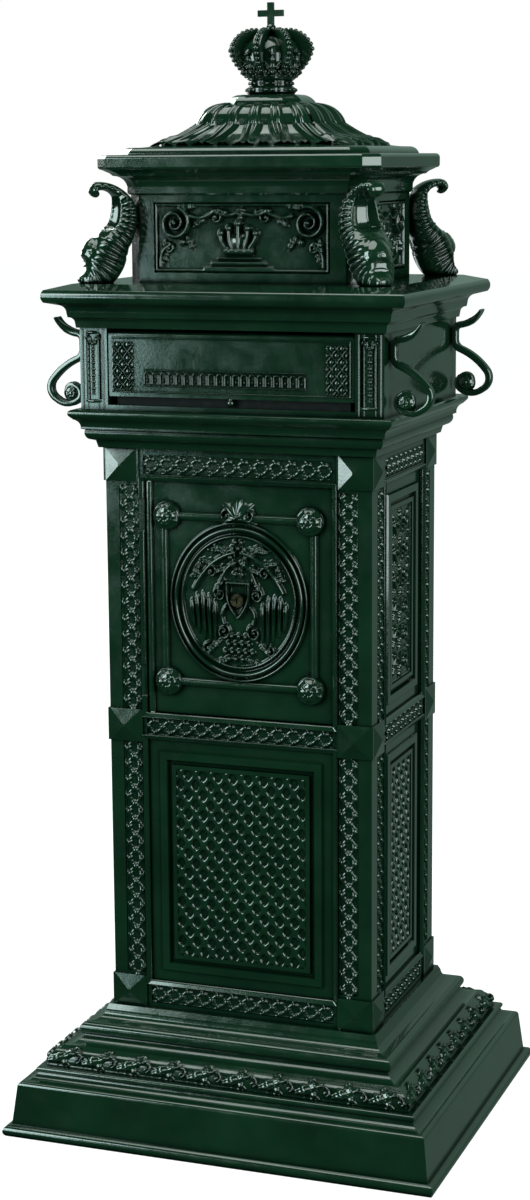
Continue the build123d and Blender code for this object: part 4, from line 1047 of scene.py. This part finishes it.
def smooth_rows(rows, count):
    """Rows resampled on a smooth curve through them."""
    rows = np.array(rows, float)
    padded = np.concatenate((2 * rows[:1] - rows[1:2], rows, 2 * rows[-1:] - rows[-2:-1]))
    place = np.linspace(0, len(rows) - 1 - 1e-6, count)
    index = place.astype(int)
    t = (place - index)[:, None]
    a, b, c, d = (padded[index + step] for step in range(4))
    return 0.5 * (2 * b + (c - a) * t + (2 * a - 5 * b + 4 * c - d) * t ** 2
                  + (3 * b - a - 3 * c + d) * t ** 3)


def dolphin_mesh(name, side, toward):
    """Curled tail, dished back with rolled edges, scaled neck and a round head with a snout."""
    rows = smooth_rows(DOLPHIN_RINGS, 190)
    line, deep, wide = rows[:, :2], rows[:, 2:3], rows[:, 3:4]
    tangent = directions(line)
    # out of the line, away from the wall: to the left of the way down
    away = np.stack((-tangent[:, 1], tangent[:, 0]), -1)
    travelled = run_along(line)[:, None]
    angle = np.linspace(-pi, pi, 112, endpoint=False)[None, :]
    y, front = np.sin(angle), np.cos(angle)
    height = line[:, 1:2]
    outside = np.clip(front * 4, 0, 1)

    def zone(low, high, soft):
        return 1 / (1 + np.exp(-(height - low) / soft)) / (1 + np.exp((height - high) / soft))

    upper, neck, head = zone(52, 97, 2.0), zone(34, 52, 2.5), zone(12, 36, 2.5)
    # upper part: dish inside a rolled rim
    dish = -0.62 * deep * np.exp(-((y / 0.50) ** 4)) * upper * outside
    rim = 3.0 * np.exp(-(((np.abs(y) - 0.70) / 0.11) ** 2)) * upper * outside
    foot = np.exp(-(((height - 53) / 2.2) ** 2))
    rim = rim + 3.0 * foot * np.exp(-((y / 0.72) ** 6)) * outside
    # neck and cheeks: rows of scales
    row = travelled / 5.6
    column = angle * 6 + pi * (np.floor(row) % 2)
    scale = (1 - (row % 1)) * (0.45 + 0.55 * np.cos(column)) * 1.7
    scales = scale * (neck + 0.55 * head * np.clip(np.abs(y) - 0.45, 0, 1) * 2)
    # head: a whorl like a rose
    flower = rosette(y * wide, 1.15 * (height - 25), 15.5, 6.0, 8) * outside * (front > 0.15)
    flower = np.maximum(flower, 0)
    # fins along both edges
    fins = 1 + 0.09 * np.cos(travelled / 7.5 * tau) * np.exp(-(((np.abs(y) - 1) / 0.25) ** 2))
    swell = dish + rim + scales + flower
    out = np.sign(front) * np.abs(front) ** 0.85
    radial = deep * out + swell
    across = wide * y * fins
    u = np.maximum(line[:, :1] + radial * away[:, :1], 0.0)
    v = np.maximum(line[:, 1:] + radial * away[:, 1:], 0.0)
    out_x, out_y = side / sqrt(2), toward / sqrt(2)
    world = np.stack((side * CUT_X + out_x * u - out_y * across,
                      toward * CUT_Y + out_y * u + out_x * across, CORNICE_TOP + v), -1)
    return tube_mesh(name, world)


CUT_X = attic_high.x - CORNER_CUT / 2
CUT_Y = CUT_X - DEPTH_STEP
CORNICE_TOP = attic_low.z
for front_rear, left_right, side, toward in CORNERS:
    name = f"{front_rear}_{left_right}_dolphin_bracket"
    piece = add_piece(name, dolphin_mesh(name, side, toward))
    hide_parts(f"{front_rear}_{left_right}_dolphin")


# ---- crown
CROWN_BASE = box_mm("crown_finial")[0].z
PEARL_R = 2.7
# rows of pearls round the rim: how many, how far out, how high, and their size
PEARL_ROWS = ((24, 27.6, 5.2, 0.85), (20, 24.4, 12.5, 0.8), (24, 28.6, 20.5, 0.8))


def pearl_mesh(places):
    """Slightly flattened pearls at (x, y, z, size) in millimetres."""
    work = bmesh.new()
    for x, y, z, size in places:
        scale = Matrix.Diagonal((size, size, 0.9 * size, 1))
        bmesh.ops.create_icosphere(work, subdivisions=3, radius=PEARL_R * MM,
                                   matrix=Matrix.Translation(Vector((x, y, z)) * MM) @ scale)
    mesh = bpy.data.meshes.new("pearls")
    work.to_mesh(mesh)
    work.free()
    return shade_smooth(mesh)


arch = np.concatenate((arc_through((29, 23), (41, 33), (49, 51), 30)[:-1],
                       arc_through((49, 51), (36, 67), (7, 69), 40)))
arch = even_line(arch, 6.0)[1:-1]
pearls = []
for spoke in range(8):
    turn = tau * spoke / 8
    for index, (reach, rise) in enumerate(arch):
        size = 0.80 + 0.35 * sin(pi * index / (len(arch) - 1))
        pearls.append((reach * cos(turn), reach * sin(turn), CROWN_BASE + rise, size))
for count, reach, rise, size in PEARL_ROWS:
    for index in range(count):
        turn = tau * (index + 0.5) / count
        pearls.append((reach * cos(turn), reach * sin(turn), CROWN_BASE + rise, size))
add_piece("crown_pearls", pearl_mesh(pearls))


def fleuron(u, v):
    """Three-lobed leaf that stands on the crown's rim."""
    x = np.abs(u)
    return highest(leaf(x, v, 0, -14, 90, 28, 11, 5.0), leaf(x, v, 1, -8, 48, 15, 9, 4.4, 0.01),
                   bead(x, v, 0, 12.5, 3.6, 5.4), bead(x, v, 0, -9, 4.2, 5.6),
                   volute(x, v, 7.5, -9, 4.0, 1.2, 1, 150, 1.5, 4.2))


fleuron_mesh = relief_mesh("fleuron", 26, 34, 0.5, fleuron)
fleurons = []
for spoke in range(8):
    turn = tau * (spoke + 0.5) / 8
    lean = Matrix.Rotation(radians(-24), 4, "X")
    stand = Matrix.Rotation(turn + pi / 2, 4, "Z") @ Matrix.Rotation(pi / 2, 4, "X")
    place = Matrix.Translation(Vector((33.5 * cos(turn), 33.5 * sin(turn), CROWN_BASE + 34)) * MM)
    fleurons.append((fleuron_mesh, place @ stand @ lean.inverted()))
add_piece("crown_fleurons", joined("crown_fleurons", fleurons))


# ---- stage, light and camera
def add_stage():
    bpy.ops.mesh.primitive_plane_add(size=30, location=(0, 6, 0))
    floor = bpy.context.object
    floor.name = "studio_floor"
    material, tree, shader = new_material("pale_floor")
    tint = blend_colours(tree, noise(tree, 0.8), (0.26, 0.24, 0.25), (0.28, 0.26, 0.27))
    feed(tree, shader, Base_Color=tint, Roughness=1.0, Specular_IOR_Level=0.0,
         Emission_Color=(1, 1, 1, 1), Emission_Strength=0.93)
    material.cycles.emission_sampling = "NONE"
    floor.data.materials.append(material)
    floor.visible_glossy = False
    floor.visible_diffuse = False


def add_light(name, place, target, size, power, colour=(1, 1, 1)):
    data = bpy.data.lights.new(name, "AREA")
    data.shape = "RECTANGLE"
    data.size, data.size_y = size
    data.energy = power
    data.color = colour
    light = bpy.data.objects.new(name, data)
    light.location = place
    light.rotation_euler = (Vector(target) - Vector(place)).to_track_quat("-Z", "Y").to_euler()
    light.visible_camera = False
    bpy.context.scene.collection.objects.link(light)


def add_camera():
    data = bpy.data.cameras.new("camera")
    data.sensor_fit = "VERTICAL"
    data.sensor_height = 36
    data.lens = 71.55
    camera = bpy.data.objects.new("camera", data)
    turn = Matrix.Rotation(radians(20.16), 4, "Z")
    tilt = Matrix.Rotation(radians(90 - 10.42), 4, "X")
    roll = Matrix.Rotation(radians(-0.42), 4, "Z")
    camera.matrix_world = Matrix.Translation((0.941, -2.596, 1.124)) @ turn @ tilt @ roll
    bpy.context.scene.collection.objects.link(camera)
    bpy.context.scene.camera = camera


def add_world():
    """White behind the object, and for its gloss a dim studio that is lighter behind and above."""
    world = bpy.data.worlds.new("studio")
    bpy.context.scene.world = world
    world.use_nodes = True
    tree = world.node_tree
    direction = tree.nodes.new("ShaderNodeTexCoord")
    split = tree.nodes.new("ShaderNodeSeparateXYZ")
    feed(tree, split, Vector=direction.outputs["Generated"])
    behind = spread(tree, split.outputs["Y"], 0, 1, 0.2, 0.9)
    above = spread(tree, split.outputs["Z"], 0.15, 0.30, 0.0, 0.22)
    product = tree.nodes.new("ShaderNodeMath")
    product.operation = "MULTIPLY_ADD"
    tree.links.new(behind, product.inputs[0])
    tree.links.new(above, product.inputs[1])
    product.inputs[2].default_value = 0.012
    path = tree.nodes.new("ShaderNodeLightPath")
    gloss = tree.nodes.new("ShaderNodeMix")
    feed(tree, gloss, Factor=path.outputs["Is Glossy Ray"], A=0.35, B=product.outputs["Value"])
    seen = tree.nodes.new("ShaderNodeMix")
    feed(tree, seen, Factor=path.outputs["Is Camera Ray"], A=gloss.outputs["Result"], B=1.0)
    tint = blend_colours(tree, path.outputs["Is Camera Ray"], (0.66, 1.0, 0.84), (1.0, 1.0, 1.0))
    feed(tree, tree.nodes["Background"], Color=tint, Strength=seen.outputs["Result"])


add_stage()
add_world()
add_light("left_softbox", (-2.50, -2.80, 1.5), (0, 0, 0.8), (2.0, 2.6), 150, (0.78, 1.0, 0.97))
add_light("top_softbox", (-0.5, -0.6, 3.4), (0, 0, 0.8), (2.4, 1.6), 45, (0.88, 1.0, 0.94))
add_light("flap_card", (-1.64, -3.19, 0.66), (-0.14, -0.14, 0.90), (0.32, 0.50), 3.4,
          (0.62, 1.0, 0.97))
add_light("right_strip", (1.9, -2.0, 1.2), (0, 0, 0.65), (0.45, 2.2), 22, (0.82, 1.0, 0.97))
add_light("rear_fill", (-3.3, 2.6, 1.9), (0, 0, 0.7), (2.2, 2.2), 80, (0.90, 1.0, 0.96))
add_light("right_fill", (3.4, -0.9, 1.6), (0, 0, 0.7), (2.2, 2.6), 110, (0.85, 1.0, 0.95))
add_camera()
bpy.context.scene.view_settings.view_transform = "Standard"
